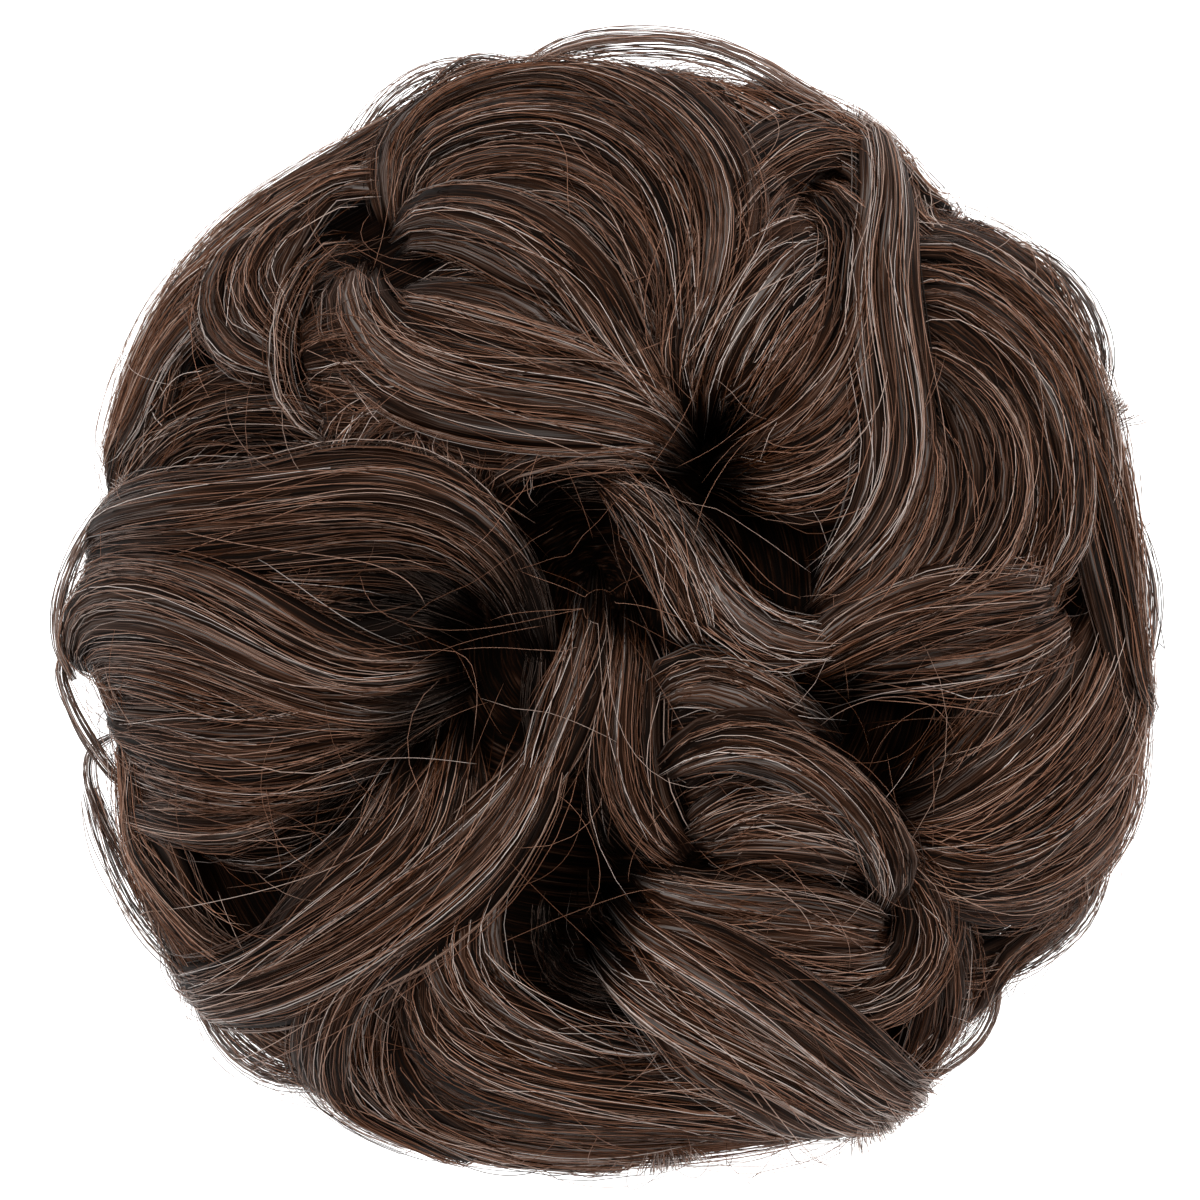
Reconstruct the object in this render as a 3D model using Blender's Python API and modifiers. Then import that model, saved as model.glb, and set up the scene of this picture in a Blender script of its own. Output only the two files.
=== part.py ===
"""Top knot hairpiece: a round messy bun of curled locks, sewn round a flat elastic band.

The hairpiece lies on its underside as it does on a table. The band is at the bottom, and the
wearer's own hair goes up through it into the hollow of the bun. +Z is up, and the origin is on
the table, below the middle of the bun. Run with: blender --background --python part.py
"""

import math
from typing import NamedTuple

import bmesh
import bpy
from mathutils import Vector
from mathutils.bvhtree import BVHTree

MM = 0.001

# Driving sizes, in millimetres
BUN_WIDTH = 150.0
RIM_HEIGHT = 24.0
DOME_RISE = 34.0
FOOT_CLEARANCE = 0.6
BAND_INNER_RADIUS = 20.0
BAND_WIDTH = 9.0
BAND_HEIGHT = 7.0
BAND_CORNER = 2.2
BAND_STEPS = 36
SEAT_GAP = 0.3
HOLLOW_RADIUS = 21.0
HOLLOW_WALL_TOP = 28.0
HOLLOW_HEIGHT = 38.0

# The bun is drawn in plan on a grid of 1098 units across its width, with y down
PLAN_UNITS_ACROSS = 1098.0
PLAN_CENTRE = (599.0, 606.0)
PLAN_UNIT = BUN_WIDTH / PLAN_UNITS_ACROSS

# How the surface of the bun is made up
SKIN_INSET = 1.6
CORE_INSET = 3.0
UNDERSIDE_START = 0.55
DOME_POWER = 2.4
DOME_ROUNDNESS = 0.54
RIM_LIMIT = 0.985

# How a lock is made up
LOCK_STATIONS = 13
LOCK_SIDES = 8
LOCK_THICKNESS = 0.46
LOCK_END_WIDTH = 0.35
END_SINK = 4.5
END_SHARE = 0.16

# How the skin is laid over the locks, and how fine it is
DRAPE_SUBDIVISIONS = 7
DRAPE_REACH = 14.0
SOFTEN_PASSES = 4
HAIR_FACETS = 10400

HAIR_COLOUR = (0.040, 0.022, 0.015, 1.0)
BAND_COLOUR = (0.012, 0.009, 0.008, 1.0)


class Swell(NamedTuple):
    """A curl that stands up from the dome, or with a rise below zero a hollow between curls."""

    name: str
    x: float
    y: float
    rise: float
    radius: float


class Lock(NamedTuple):
    """One lock of the crown: width and lift in millimetres, and its path on the plan grid."""

    name: str
    width: float
    lift: float
    path: tuple


class SideLock(NamedTuple):
    """A ring of alike locks: turns from start to end, and arcs from 0, the top, to 2, the base."""

    name: str
    count: int
    first_turn: float
    sweep: float
    arc_start: float
    arc_end: float
    wave: float
    width: float
    lift: float


# Radius of the outline in millimetres, every 20 degrees anticlockwise from +X
OUTLINE = (
    75.0, 74.0, 76.0, 75.5, 77.0, 75.5, 71.0, 72.5, 70.0,
    75.0, 73.5, 76.0, 75.5, 76.0, 76.0, 79.5, 76.0, 77.0,
)

SWELLS = (
    Swell("left_curl", 270, 620, 5.0, 22.0),
    Swell("crown_curl", 530, 240, 5.0, 24.0),
    Swell("top_right_curl", 790, 310, 4.0, 18.0),
    Swell("upper_right_curl", 980, 480, 5.0, 24.0),
    Swell("right_curl", 1030, 780, 4.0, 18.0),
    Swell("mid_right_curl", 770, 800, 6.0, 16.0),
    Swell("bottom_curl", 640, 1070, 3.0, 20.0),
    Swell("lower_left_curl", 370, 960, 4.0, 18.0),
    Swell("parting", 565, 560, -12.0, 11.0),
    Swell("lower_parting", 560, 880, -11.0, 10.0),
    Swell("left_hollow", 495, 690, -8.0, 8.0),
    Swell("right_hollow", 690, 462, -6.0, 6.0),
    Swell("far_right_hollow", 880, 722, -11.0, 8.0),
    Swell("lower_left_hollow", 345, 825, -8.0, 6.0),
    Swell("low_left_gap", 250, 905, -8.0, 6.0),
    Swell("upper_left_hollow", 215, 350, -7.0, 8.0),
)

SIDE_LOCKS = (
    SideLock("shoulder_curls", 11, 8.0, 56.0, 0.80, 1.20, 0.10, 9.0, 0.6),
    SideLock("rim_curls", 12, 24.0, -52.0, 0.94, 1.36, 0.09, 9.0, 0.9),
    SideLock("skirt_curls", 13, 0.0, 42.0, 1.12, 1.56, 0.06, 9.0, 0.6),
    SideLock("base_locks", 16, 6.0, -26.0, 1.30, 1.72, 0.03, 9.0, 0.0),
)

CROWN_LOCKS = (
    Lock("left_swoop", 6.0, 4.0, ((62, 640), (108, 604), (165, 600), (225, 612), (285, 640),
         (340, 668), (400, 680), (450, 668), (492, 642))),
    Lock("left_arch", 5.5, 4.5, ((100, 545), (140, 520), (220, 503), (310, 496), (385, 490),
         (445, 506), (498, 545), (532, 596), (546, 655))),
    Lock("left_arch_inner", 6.0, 2.0, ((105, 568), (160, 552), (240, 540), (320, 528), (400, 522),
         (460, 538), (508, 580), (532, 640))),
    Lock("left_mid_a", 5.5, 2.0, ((58, 662), (105, 640), (170, 638), (240, 656), (305, 686),
         (370, 704), (430, 700), (482, 676))),
    Lock("left_mid_b", 5.5, 1.0, ((75, 680), (125, 668), (190, 680), (255, 706), (320, 712),
         (390, 716), (445, 700))),
    Lock("left_mid_c", 4.5, 1.5, ((100, 700), (150, 708), (210, 716), (270, 710), (340, 724),
         (410, 722), (465, 698))),
    Lock("left_low_a", 6.5, 3.0, ((112, 720), (160, 738), (220, 758), (290, 762), (355, 742),
         (415, 718), (462, 690))),
    Lock("left_low_b", 6.0, 2.0, ((140, 768), (190, 778), (250, 790), (310, 782), (360, 756),
         (412, 728), (448, 704))),
    Lock("left_low_curl", 4.0, 3.0, ((160, 812), (200, 822), (255, 822), (305, 802), (348, 776),
         (392, 744))),
    Lock("left_low_fringe", 3.5, 0.0, ((178, 834), (235, 852), (295, 850), (338, 828), (370, 790),
         (400, 750))),
    Lock("left_rim_loop", 3.0, 1.0, ((122, 520), (92, 560), (66, 610), (56, 660), (72, 715),
         (98, 762))),
    Lock("low_left_diagonal_a", 7.0, 4.5, ((552, 712), (532, 785), (488, 846), (428, 892), (368, 930),
         (300, 966), (235, 985))),
    Lock("low_left_diagonal_b", 7.0, 3.5, ((470, 708), (462, 770), (440, 836), (388, 884), (325, 926),
         (262, 962), (204, 984))),
    Lock("low_left_red", 6.0, 1.0, ((440, 712), (418, 770), (392, 820), (355, 870), (310, 910),
         (262, 940))),
    Lock("low_left_edge_a", 5.5, 2.5, ((120, 762), (146, 828), (184, 886), (222, 936), (262, 966))),
    Lock("low_left_edge_b", 5.5, 1.0, ((96, 738), (116, 806), (148, 874), (186, 936), (212, 982))),
    Lock("low_left_edge_c", 3.0, 0.5, ((78, 700), (92, 770), (106, 840), (138, 905), (172, 958))),
    Lock("low_left_rim_bowl", 5.5, 0.5, ((202, 985), (214, 1026), (248, 1058), (300, 1078),
         (352, 1094))),
    Lock("low_left_hook_a", 5.5, 4.0, ((468, 856), (408, 916), (358, 962), (338, 1012), (346, 1062),
         (384, 1106), (446, 1138))),
    Lock("low_left_hook_b", 5.5, 2.5, ((500, 858), (442, 922), (396, 968), (378, 1022), (392, 1076),
         (438, 1116), (505, 1140))),
    Lock("bottom_grey_bowl", 6.0, 3.0, ((512, 828), (474, 884), (464, 938), (492, 982), (548, 1018),
         (612, 1040), (690, 1046))),
    Lock("bottom_auburn_bowl", 6.5, 3.0, ((428, 944), (424, 996), (462, 1034), (528, 1058),
         (602, 1070), (680, 1080), (762, 1098))),
    Lock("bottom_band_a", 6.0, 1.5, ((398, 1004), (420, 1058), (472, 1088), (545, 1102), (622, 1108),
         (702, 1110), (790, 1122))),
    Lock("bottom_rim", 5.5, 1.5, ((352, 1094), (425, 1128), (502, 1144), (584, 1150), (664, 1150),
         (744, 1146), (812, 1136), (864, 1112))),
    Lock("bottom_rim_low", 3.5, -1.0, ((480, 1144), (545, 1158), (612, 1163), (672, 1158))),
    Lock("bottom_right_band", 6.0, 2.0, ((560, 1102), (640, 1080), (712, 1070), (785, 1082),
         (850, 1102))),
    Lock("low_right_diagonal_a", 7.0, 4.5, ((600, 884), (650, 920), (704, 952), (760, 988),
         (812, 1028), (862, 1068), (902, 1092))),
    Lock("low_right_diagonal_b", 7.5, 4.0, ((584, 930), (634, 976), (696, 1012), (756, 1042),
         (810, 1074), (856, 1102), (888, 1122))),
    Lock("low_right_upper_a", 6.5, 2.5, ((630, 872), (690, 892), (762, 898), (832, 908), (892, 930))),
    Lock("low_right_upper_b", 6.5, 1.0, ((650, 908), (714, 926), (782, 944), (850, 956), (906, 950))),
    Lock("low_right_scoop", 5.0, 2.0, ((874, 838), (912, 868), (926, 918), (908, 966), (864, 998),
         (804, 1006))),
    Lock("low_right_drop", 5.0, 1.0, ((930, 888), (946, 950), (942, 1010), (920, 1062), (900, 1092))),
    Lock("low_right_rim_a", 5.0, 1.5, ((1128, 780), (1108, 846), (1076, 902), (1030, 946), (974, 968),
         (926, 976))),
    Lock("low_right_rim_b", 3.0, 0.5, ((992, 982), (992, 1024), (968, 1058), (934, 1080), (902, 1096))),
    Lock("mid_right_grey_arch", 5.5, 3.5, ((646, 688), (672, 664), (714, 664), (756, 686), (796, 716),
         (838, 742))),
    Lock("mid_right_big_arch", 5.5, 5.0, ((655, 772), (688, 742), (736, 732), (786, 742), (832, 772),
         (866, 814), (882, 862), (878, 908))),
    Lock("mid_right_inner_a", 6.0, 1.5, ((672, 806), (716, 782), (768, 776), (816, 792), (852, 828))),
    Lock("mid_right_inner_b", 6.0, 2.5, ((682, 836), (730, 812), (784, 808), (832, 820), (872, 848))),
    Lock("mid_right_inner_c", 5.0, 0.5, ((692, 862), (745, 842), (802, 842), (850, 858), (882, 884))),
    Lock("right_swoop_a", 6.5, 4.0, ((782, 682), (828, 652), (882, 626), (940, 608), (1002, 602),
         (1062, 584))),
    Lock("right_swoop_b", 6.0, 3.5, ((792, 690), (852, 672), (922, 664), (990, 652), (1048, 626),
         (1088, 590))),
    Lock("right_fan_a", 7.0, 2.0, ((884, 802), (934, 764), (984, 714), (1028, 662), (1062, 612))),
    Lock("right_fan_b", 7.0, 2.5, ((888, 830), (950, 812), (1010, 776), (1058, 726), (1088, 668),
         (1098, 612))),
    Lock("right_fan_c", 6.5, 2.5, ((896, 842), (958, 852), (1018, 832), (1068, 788), (1102, 730),
         (1118, 668))),
    Lock("right_fan_d", 6.0, 1.5, ((892, 852), (948, 878), (1010, 876), (1062, 846), (1102, 800),
         (1128, 738), (1134, 676))),
    Lock("right_rim_long", 4.5, 1.0, ((1096, 440), (1118, 500), (1134, 566), (1138, 636), (1132, 706),
         (1126, 770))),
    Lock("right_rim_loop", 2.5, 1.0, ((1112, 478), (1136, 535), (1147, 600), (1145, 655), (1136, 712))),
    Lock("upper_right_outer", 6.5, 2.5, ((874, 262), (934, 272), (990, 302), (1034, 350), (1062, 412),
         (1072, 480), (1070, 548))),
    Lock("upper_right_mid", 7.0, 3.0, ((884, 304), (940, 314), (988, 348), (1026, 402), (1044, 468),
         (1044, 538), (1020, 598))),
    Lock("upper_right_inner", 6.5, 2.5, ((890, 350), (934, 372), (972, 412), (992, 466), (986, 526),
         (952, 580), (902, 616))),
    Lock("upper_right_core", 6.5, 0.5, ((902, 404), (938, 436), (952, 486), (936, 540), (896, 586),
         (846, 616))),
    Lock("upper_right_grey_drop", 5.5, 5.0, ((862, 172), (870, 240), (872, 312), (882, 384),
         (888, 448), (872, 506), (832, 556), (784, 590))),
    Lock("upper_right_drop_b", 6.0, 3.0, ((880, 400), (905, 452), (900, 510), (866, 560), (816, 598),
         (764, 612))),
    Lock("upper_right_edge", 6.0, 1.5, ((1052, 330), (1076, 386), (1084, 448), (1094, 512),
         (1104, 576), (1104, 640), (1092, 702))),
    Lock("upper_right_curl", 6.0, 2.5, ((930, 262), (962, 238), (1002, 242), (1028, 282), (1044, 334),
         (1062, 390))),
    Lock("upper_right_loop", 2.5, 0.5, ((1018, 238), (1062, 262), (1090, 306), (1100, 358),
         (1096, 408))),
    Lock("upper_right_cheek", 6.5, 1.5, ((1000, 470), (1020, 530), (1010, 590), (960, 640))),
    Lock("top_right_fan_a", 6.5, 3.0, ((690, 448), (676, 388), (680, 326), (708, 266), (744, 212),
         (790, 176))),
    Lock("top_right_fan_b", 6.5, 3.0, ((700, 450), (706, 396), (728, 340), (762, 292), (800, 258),
         (832, 246))),
    Lock("top_right_fan_c", 6.5, 2.0, ((716, 448), (746, 404), (786, 352), (816, 308), (836, 272))),
    Lock("top_right_scoop_a", 6.0, 3.5, ((700, 464), (758, 446), (810, 402), (842, 348), (852, 286),
         (842, 226), (806, 180))),
    Lock("top_right_scoop_b", 6.0, 2.5, ((700, 474), (768, 470), (828, 440), (862, 390), (866, 330))),
    Lock("top_right_scoop_c", 6.5, 1.0, ((696, 482), (752, 492), (812, 488), (852, 458), (880, 414))),
    Lock("top_right_veil", 5.0, 3.0, ((672, 330), (692, 256), (734, 196), (788, 160), (842, 156),
         (872, 190))),
    Lock("crown_outer", 7.0, 3.5, ((394, 236), (398, 184), (436, 134), (502, 108), (580, 106),
         (648, 132), (700, 180), (716, 240), (704, 310), (688, 372))),
    Lock("crown_second", 7.0, 3.5, ((402, 240), (418, 190), (462, 156), (528, 144), (592, 156),
         (644, 192), (676, 250), (684, 320), (684, 388))),
    Lock("crown_third", 7.0, 2.0, ((408, 250), (448, 204), (514, 190), (578, 206), (628, 250),
         (660, 314), (678, 390))),
    Lock("crown_inner_arch", 6.0, 5.0, ((392, 248), (436, 236), (492, 242), (544, 272), (590, 316),
         (634, 374), (672, 432))),
    Lock("crown_fan_high", 6.5, 2.0, ((412, 300), (462, 280), (512, 286), (560, 326), (612, 380),
         (664, 436))),
    Lock("crown_fan_mid", 7.0, 3.0, ((384, 312), (446, 330), (518, 352), (590, 378), (644, 414),
         (688, 452))),
    Lock("crown_fan_low", 7.0, 4.0, ((366, 268), (364, 322), (394, 366), (450, 392), (522, 404),
         (592, 412), (650, 428), (694, 458))),
    Lock("crown_fan_base", 6.0, 2.5, ((396, 386), (448, 418), (520, 430), (590, 428), (650, 440),
         (696, 464))),
    Lock("crown_lip", 5.5, 3.0, ((478, 492), (522, 462), (584, 448), (646, 452), (698, 470))),
    Lock("upper_left_hook", 3.0, 5.0, ((372, 250), (332, 280), (306, 324), (298, 374), (308, 418),
         (338, 448))),
    Lock("upper_left_inner_band", 7.0, 1.5, ((306, 372), (352, 362), (404, 368), (452, 384))),
    Lock("upper_left_inner_low", 6.0, 0.5, ((318, 412), (362, 402), (410, 400), (456, 408))),
    Lock("upper_left_rim", 6.0, 1.5, ((118, 478), (122, 412), (146, 346), (184, 286), (234, 236),
         (296, 194), (356, 164), (420, 140))),
    Lock("upper_left_second", 6.5, 2.0, ((134, 450), (154, 378), (194, 316), (246, 270), (304, 228),
         (358, 196), (408, 176))),
    Lock("upper_left_third", 6.0, 1.0, ((152, 440), (180, 372), (222, 322), (262, 292), (300, 262))),
    Lock("upper_left_grey_hook", 5.0, 3.5, ((292, 238), (256, 272), (238, 312), (246, 350), (276, 374),
         (306, 384))),
    Lock("upper_left_hook_b", 4.5, 2.5, ((330, 222), (288, 258), (270, 298), (284, 334), (306, 356))),
    Lock("upper_left_shade_b", 6.0, 0.5, ((150, 486), (190, 442), (246, 424), (304, 428), (352, 452))),
    Lock("upper_left_skirt_a", 6.0, 1.5, ((456, 404), (404, 412), (370, 440), (350, 484))),
    Lock("upper_left_skirt_b", 6.5, 0.5, ((420, 420), (432, 456), (452, 500))),
    Lock("top_loop_outer", 3.5, 1.5, ((520, 82), (560, 60), (612, 47), (672, 48), (732, 66), (784, 98),
         (830, 128), (868, 156))),
    Lock("top_loop_second", 4.5, 1.0, ((556, 98), (622, 90), (684, 96), (742, 116), (792, 146),
         (832, 182))),
    Lock("top_loop_left", 4.0, 0.5, ((372, 138), (408, 100), (452, 74), (502, 68), (560, 82),
         (624, 92))),
    Lock("top_right_rim_a", 5.5, 1.5, ((772, 104), (830, 124), (878, 148), (904, 184), (920, 228))),
    Lock("top_right_rim_b", 5.5, 0.5, ((800, 148), (852, 160), (888, 196), (904, 240), (950, 262))),
    Lock("centre_bright_a", 6.5, 4.0, ((592, 474), (632, 510), (662, 560), (684, 612), (704, 650))),
    Lock("centre_bright_b", 6.5, 4.0, ((612, 474), (660, 512), (698, 566), (736, 614), (788, 642),
         (850, 640))),
)


def start_empty():
    """Clears the scene and makes one collection for the parts and one for the cutters."""
    for obj in list(bpy.data.objects):
        bpy.data.objects.remove(obj)
    made = {}
    for name in ("top_knot_hairpiece", "cutters"):
        made[name] = bpy.data.collections.new(name)
        bpy.context.scene.collection.children.link(made[name])
    return made["top_knot_hairpiece"], made["cutters"]


def principled(name, colour, roughness):
    """A plain material with a colour and a roughness."""
    material = bpy.data.materials.new(name)
    material.use_nodes = True
    shader = material.node_tree.nodes["Principled BSDF"]
    shader.inputs["Base Color"].default_value = colour
    shader.inputs["Roughness"].default_value = roughness
    shader.inputs["Metallic"].default_value = 0.0
    material.diffuse_color = colour
    return material


def outline_radius(turn):
    """Radius of the bun's outline at an angle in radians, smooth between the charted ones."""
    count = len(OUTLINE)
    place = (turn / math.tau * count) % count
    index = int(place)
    part = place - index
    ease = part * part * (3 - 2 * part)
    return OUTLINE[index % count] * (1 - ease) + OUTLINE[(index + 1) % count] * ease


def swell_height(x, y):
    """How far the curls and hollows lift the dome above a point in plan."""
    total = 0.0
    for swell in SWELLS:
        dx = x - (swell.x - PLAN_CENTRE[0]) * PLAN_UNIT
        dy = y - (PLAN_CENTRE[1] - swell.y) * PLAN_UNIT
        total += swell.rise * math.exp(-(dx * dx + dy * dy) / swell.radius**2)
    return total


def skin(turn, arc, inset=SKIN_INSET, swollen=True):
    """A point on the bun's surface. arc is 0 at the top, 1 at the rim and 2 below the middle."""
    reach = math.sin(arc * math.pi / 2)
    radius = (outline_radius(turn) - inset) * reach
    x = radius * math.cos(turn)
    y = radius * math.sin(turn)
    if arc <= 1:
        dome = (1 - abs(reach) ** DOME_POWER) ** DOME_ROUNDNESS
        swell = swell_height(x, y) if swollen else 0.0
        rise = (DOME_RISE - inset + swell) * dome
        return Vector((x, y, RIM_HEIGHT + rise))
    below = max(0.0, (reach - UNDERSIDE_START) / (1 - UNDERSIDE_START))
    foot = FOOT_CLEARANCE + inset
    return Vector((x, y, foot + (RIM_HEIGHT - foot) * (1 - math.sqrt(1 - below * below))))


def skin_normal(turn, arc):
    """The outward direction of the bun's surface."""
    step = 0.02
    along = skin(turn, arc + step) - skin(turn, arc - step)
    across = skin(turn + step, arc) - skin(turn - step, arc)
    return along.cross(across).normalized()


def plan_to_skin(x, y):
    """Turns a point of the plan grid into a turn and an arc on the bun's surface."""
    east = (x - PLAN_CENTRE[0]) * PLAN_UNIT
    north = (PLAN_CENTRE[1] - y) * PLAN_UNIT
    turn = math.atan2(north, east)
    reach = min(RIM_LIMIT, math.hypot(east, north) / (outline_radius(turn) - SKIN_INSET))
    return turn, math.asin(reach) / (math.pi / 2)


def spline(points, count):
    """Points at even steps along a smooth curve through the given points."""
    ends = [points[0] * 2 - points[1], *points, points[-1] * 2 - points[-2]]
    spans = len(points) - 1
    curve = []
    for step in range(count):
        place = min(step / (count - 1) * spans, spans - 1e-6)
        index = int(place)
        t = place - index
        a, b, c, d = ends[index : index + 4]
        curve.append(
            0.5 * (2 * b + (c - a) * t + (2 * a - 5 * b + 4 * c - d) * t**2 + (3 * b - a - 3 * c + d) * t**3)
        )
    return curve


def lock_sections(stops, width, lift):
    """Centres, outward directions and half widths of a lock that follows stops on the skin."""
    centres = spline([skin(*stop) for stop in stops], LOCK_STATIONS)
    outwards = spline([skin_normal(*stop) for stop in stops], LOCK_STATIONS)
    sections = []
    for index, (centre, outward) in enumerate(zip(centres, outwards)):
        t = index / (LOCK_STATIONS - 1)
        from_end = min(1.0, min(t, 1 - t) / END_SHARE)
        sunk = END_SINK * (1 - from_end) ** 2
        full = LOCK_END_WIDTH + (1 - LOCK_END_WIDTH) * (1 - (2 * t - 1) ** 4)
        outward = outward.normalized()
        sections.append((centre + outward * (lift - sunk), outward, width / 2 * full))
    return sections


def add_lock(mesh, stops, width, lift):
    """Adds one lock to the mesh: a loft of flattened ovals along its path, closed at both ends."""
    sections = lock_sections(stops, width, lift)
    rings = []
    for index, (centre, outward, half) in enumerate(sections):
        before = sections[max(0, index - 1)][0]
        after = sections[min(len(sections) - 1, index + 1)][0]
        tangent = (after - before).normalized()
        across = tangent.cross(outward).normalized()
        upward = across.cross(tangent)
        ring = []
        for side in range(LOCK_SIDES):
            angle = math.tau * (side + 0.5) / LOCK_SIDES
            offset = across * (half * math.cos(angle)) + upward * (half * LOCK_THICKNESS * math.sin(angle))
            ring.append(mesh.verts.new((centre + offset) * MM))
        rings.append(ring)
    for first, second in zip(rings, rings[1:]):
        for side in range(LOCK_SIDES):
            after = (side + 1) % LOCK_SIDES
            mesh.faces.new((first[side], first[after], second[after], second[side]))
    mesh.faces.new(list(reversed(rings[0])))
    mesh.faces.new(rings[-1])


def add_core(mesh):
    """Adds the body of the bun below its locks: a sphere shaped to the surface, set in from it."""
    made = bmesh.ops.create_uvsphere(mesh, u_segments=54, v_segments=30, radius=1.0)
    for vert in made["verts"]:
        turn = math.atan2(vert.co.y, vert.co.x)
        arc = math.acos(max(-1.0, min(1.0, vert.co.z))) / (math.pi / 2)
        vert.co = skin(turn, arc, CORE_INSET) * MM


def side_lock_stops(ring, index):
    """Stops of one lock of a ring: it sweeps round and down the side in an S."""
    start = math.radians(ring.first_turn + 360 / ring.count * index)
    stops = []
    for step in range(6):
        t = step / 5
        turn = start + math.radians(ring.sweep) * t
        arc = ring.arc_start + (ring.arc_end - ring.arc_start) * t
        stops.append((turn, arc + ring.wave * math.sin(math.tau * (t + index % 3 / 3))))
    return stops


def turned(name, profile, steps, collection, closed):
    """A solid of revolution about Z. Its profile starts at the top and runs down the outer side."""
    mesh = bpy.data.meshes.new(name)
    points = [(radius * MM, 0, height * MM) for radius, height in profile]
    edges = [(index, index + 1) for index in range(len(points) - 1)]
    if closed:
        edges.append((len(points) - 1, 0))
    mesh.from_pydata(points, edges, [])
    obj = bpy.data.objects.new(name, mesh)
    collection.objects.link(obj)
    screw = obj.modifiers.new("turn", "SCREW")
    screw.steps = steps
    screw.render_steps = steps
    screw.use_merge_vertices = True
    screw.merge_threshold = 0.00001
    return obj


def make_elastic_band(collection):
    """The flat elastic band: a ring with rounded corners, flat on its underside."""
    inner = BAND_INNER_RADIUS
    outer = inner + BAND_WIDTH
    corners = (
        (outer - BAND_CORNER, BAND_HEIGHT - BAND_CORNER, 90),
        (outer - BAND_CORNER, BAND_CORNER, 0),
        (inner + BAND_CORNER, BAND_CORNER, -90),
        (inner + BAND_CORNER, BAND_HEIGHT - BAND_CORNER, -180),
    )
    profile = []
    for radius, height, first in corners:
        for part in range(3):
            angle = math.radians(first - 45 * part)
            profile.append((radius + BAND_CORNER * math.cos(angle), height + BAND_CORNER * math.sin(angle)))
    band = turned("elastic_band", profile, BAND_STEPS, collection, True)
    band.data.materials.append(principled("stretch_fabric", BAND_COLOUR, 0.8))
    return band


def make_hollow_cutter(collection):
    """The space that the hair leaves free: the seat of the band and the hollow above it."""
    seat_radius = BAND_INNER_RADIUS + BAND_WIDTH + SEAT_GAP
    seat_top = BAND_HEIGHT + SEAT_GAP
    below = -5.0
    profile = (
        (0, HOLLOW_HEIGHT),
        (HOLLOW_RADIUS * 0.55, HOLLOW_HEIGHT - 2.0),
        (HOLLOW_RADIUS * 0.9, HOLLOW_WALL_TOP + 4.0),
        (HOLLOW_RADIUS, HOLLOW_WALL_TOP),
        (HOLLOW_RADIUS, seat_top),
        (seat_radius, seat_top),
        (seat_radius, below),
        (0, below),
    )
    cutter = turned("hollow_cutter", profile, BAND_STEPS, collection, False)
    cutter.hide_render = True
    cutter.display_type = "WIRE"
    return cutter


def draped(name, locks):
    """One closed skin laid over everything in the mesh from outside, so that it is one body."""
    below = BVHTree.FromBMesh(locks)
    skin_mesh = bmesh.new()
    made = bmesh.ops.create_icosphere(skin_mesh, subdivisions=DRAPE_SUBDIVISIONS, radius=1.0)
    for vert in made["verts"]:
        turn = math.atan2(vert.co.y, vert.co.x)
        arc = math.acos(max(-1.0, min(1.0, vert.co.z))) / (math.pi / 2)
        slope = arc * math.pi / 2
        level = math.sin(slope)
        outward = Vector((level * math.cos(turn), level * math.sin(turn), math.cos(slope)))
        start = skin(turn, arc, SKIN_INSET, False) + outward * DRAPE_REACH
        vert.co = below.ray_cast(start * MM, -outward)[0]
    data = bpy.data.meshes.new(name)
    skin_mesh.to_mesh(data)
    skin_mesh.free()
    return data


def make_hair(collection, cutter):
    """The hair: every lock and the body of the bun, fused into one solid, with the hollow cut."""
    mesh = bmesh.new()
    add_core(mesh)
    for lock in CROWN_LOCKS:
        stops = [plan_to_skin(x, y) for x, y in lock.path]
        add_lock(mesh, stops, lock.width, lock.lift)
    for ring in SIDE_LOCKS:
        for index in range(ring.count):
            add_lock(mesh, side_lock_stops(ring, index), ring.width, ring.lift)
    bmesh.ops.recalc_face_normals(mesh, faces=mesh.faces)
    data = draped("hair_locks", mesh)
    mesh.free()
    hair = bpy.data.objects.new("hair_locks", data)
    collection.objects.link(hair)
    soften = hair.modifiers.new("soften", "SMOOTH")
    soften.factor = 0.5
    soften.iterations = SOFTEN_PASSES
    thin_out = hair.modifiers.new("thin_out", "DECIMATE")
    thin_out.ratio = HAIR_FACETS / len(data.polygons)
    hollow = hair.modifiers.new("hollow", "BOOLEAN")
    hollow.operation = "DIFFERENCE"
    hollow.object = cutter
    hair.data.materials.append(principled("curled_fibre", HAIR_COLOUR, 0.4))
    return hair


def main():
    """Builds the band and the hair."""
    parts, cutters = start_empty()
    make_elastic_band(parts)
    cutter = make_hollow_cutter(cutters)
    make_hair(parts, cutter)


main()
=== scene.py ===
"""Top knot hairpiece: a round messy bun of curled synthetic locks, sewn round an elastic band.

The bun lies on its underside and is seen from straight above. Every lock is a combed body with its
own strands over it, and loose strands cross from lock to lock. Lengths are in millimetres until a
mesh is made, which is in metres, in the CAD model's frame.
"""

import logging
import math
from collections.abc import Callable
from dataclasses import dataclass, field, replace
from enum import Enum
from functools import partial

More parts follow.
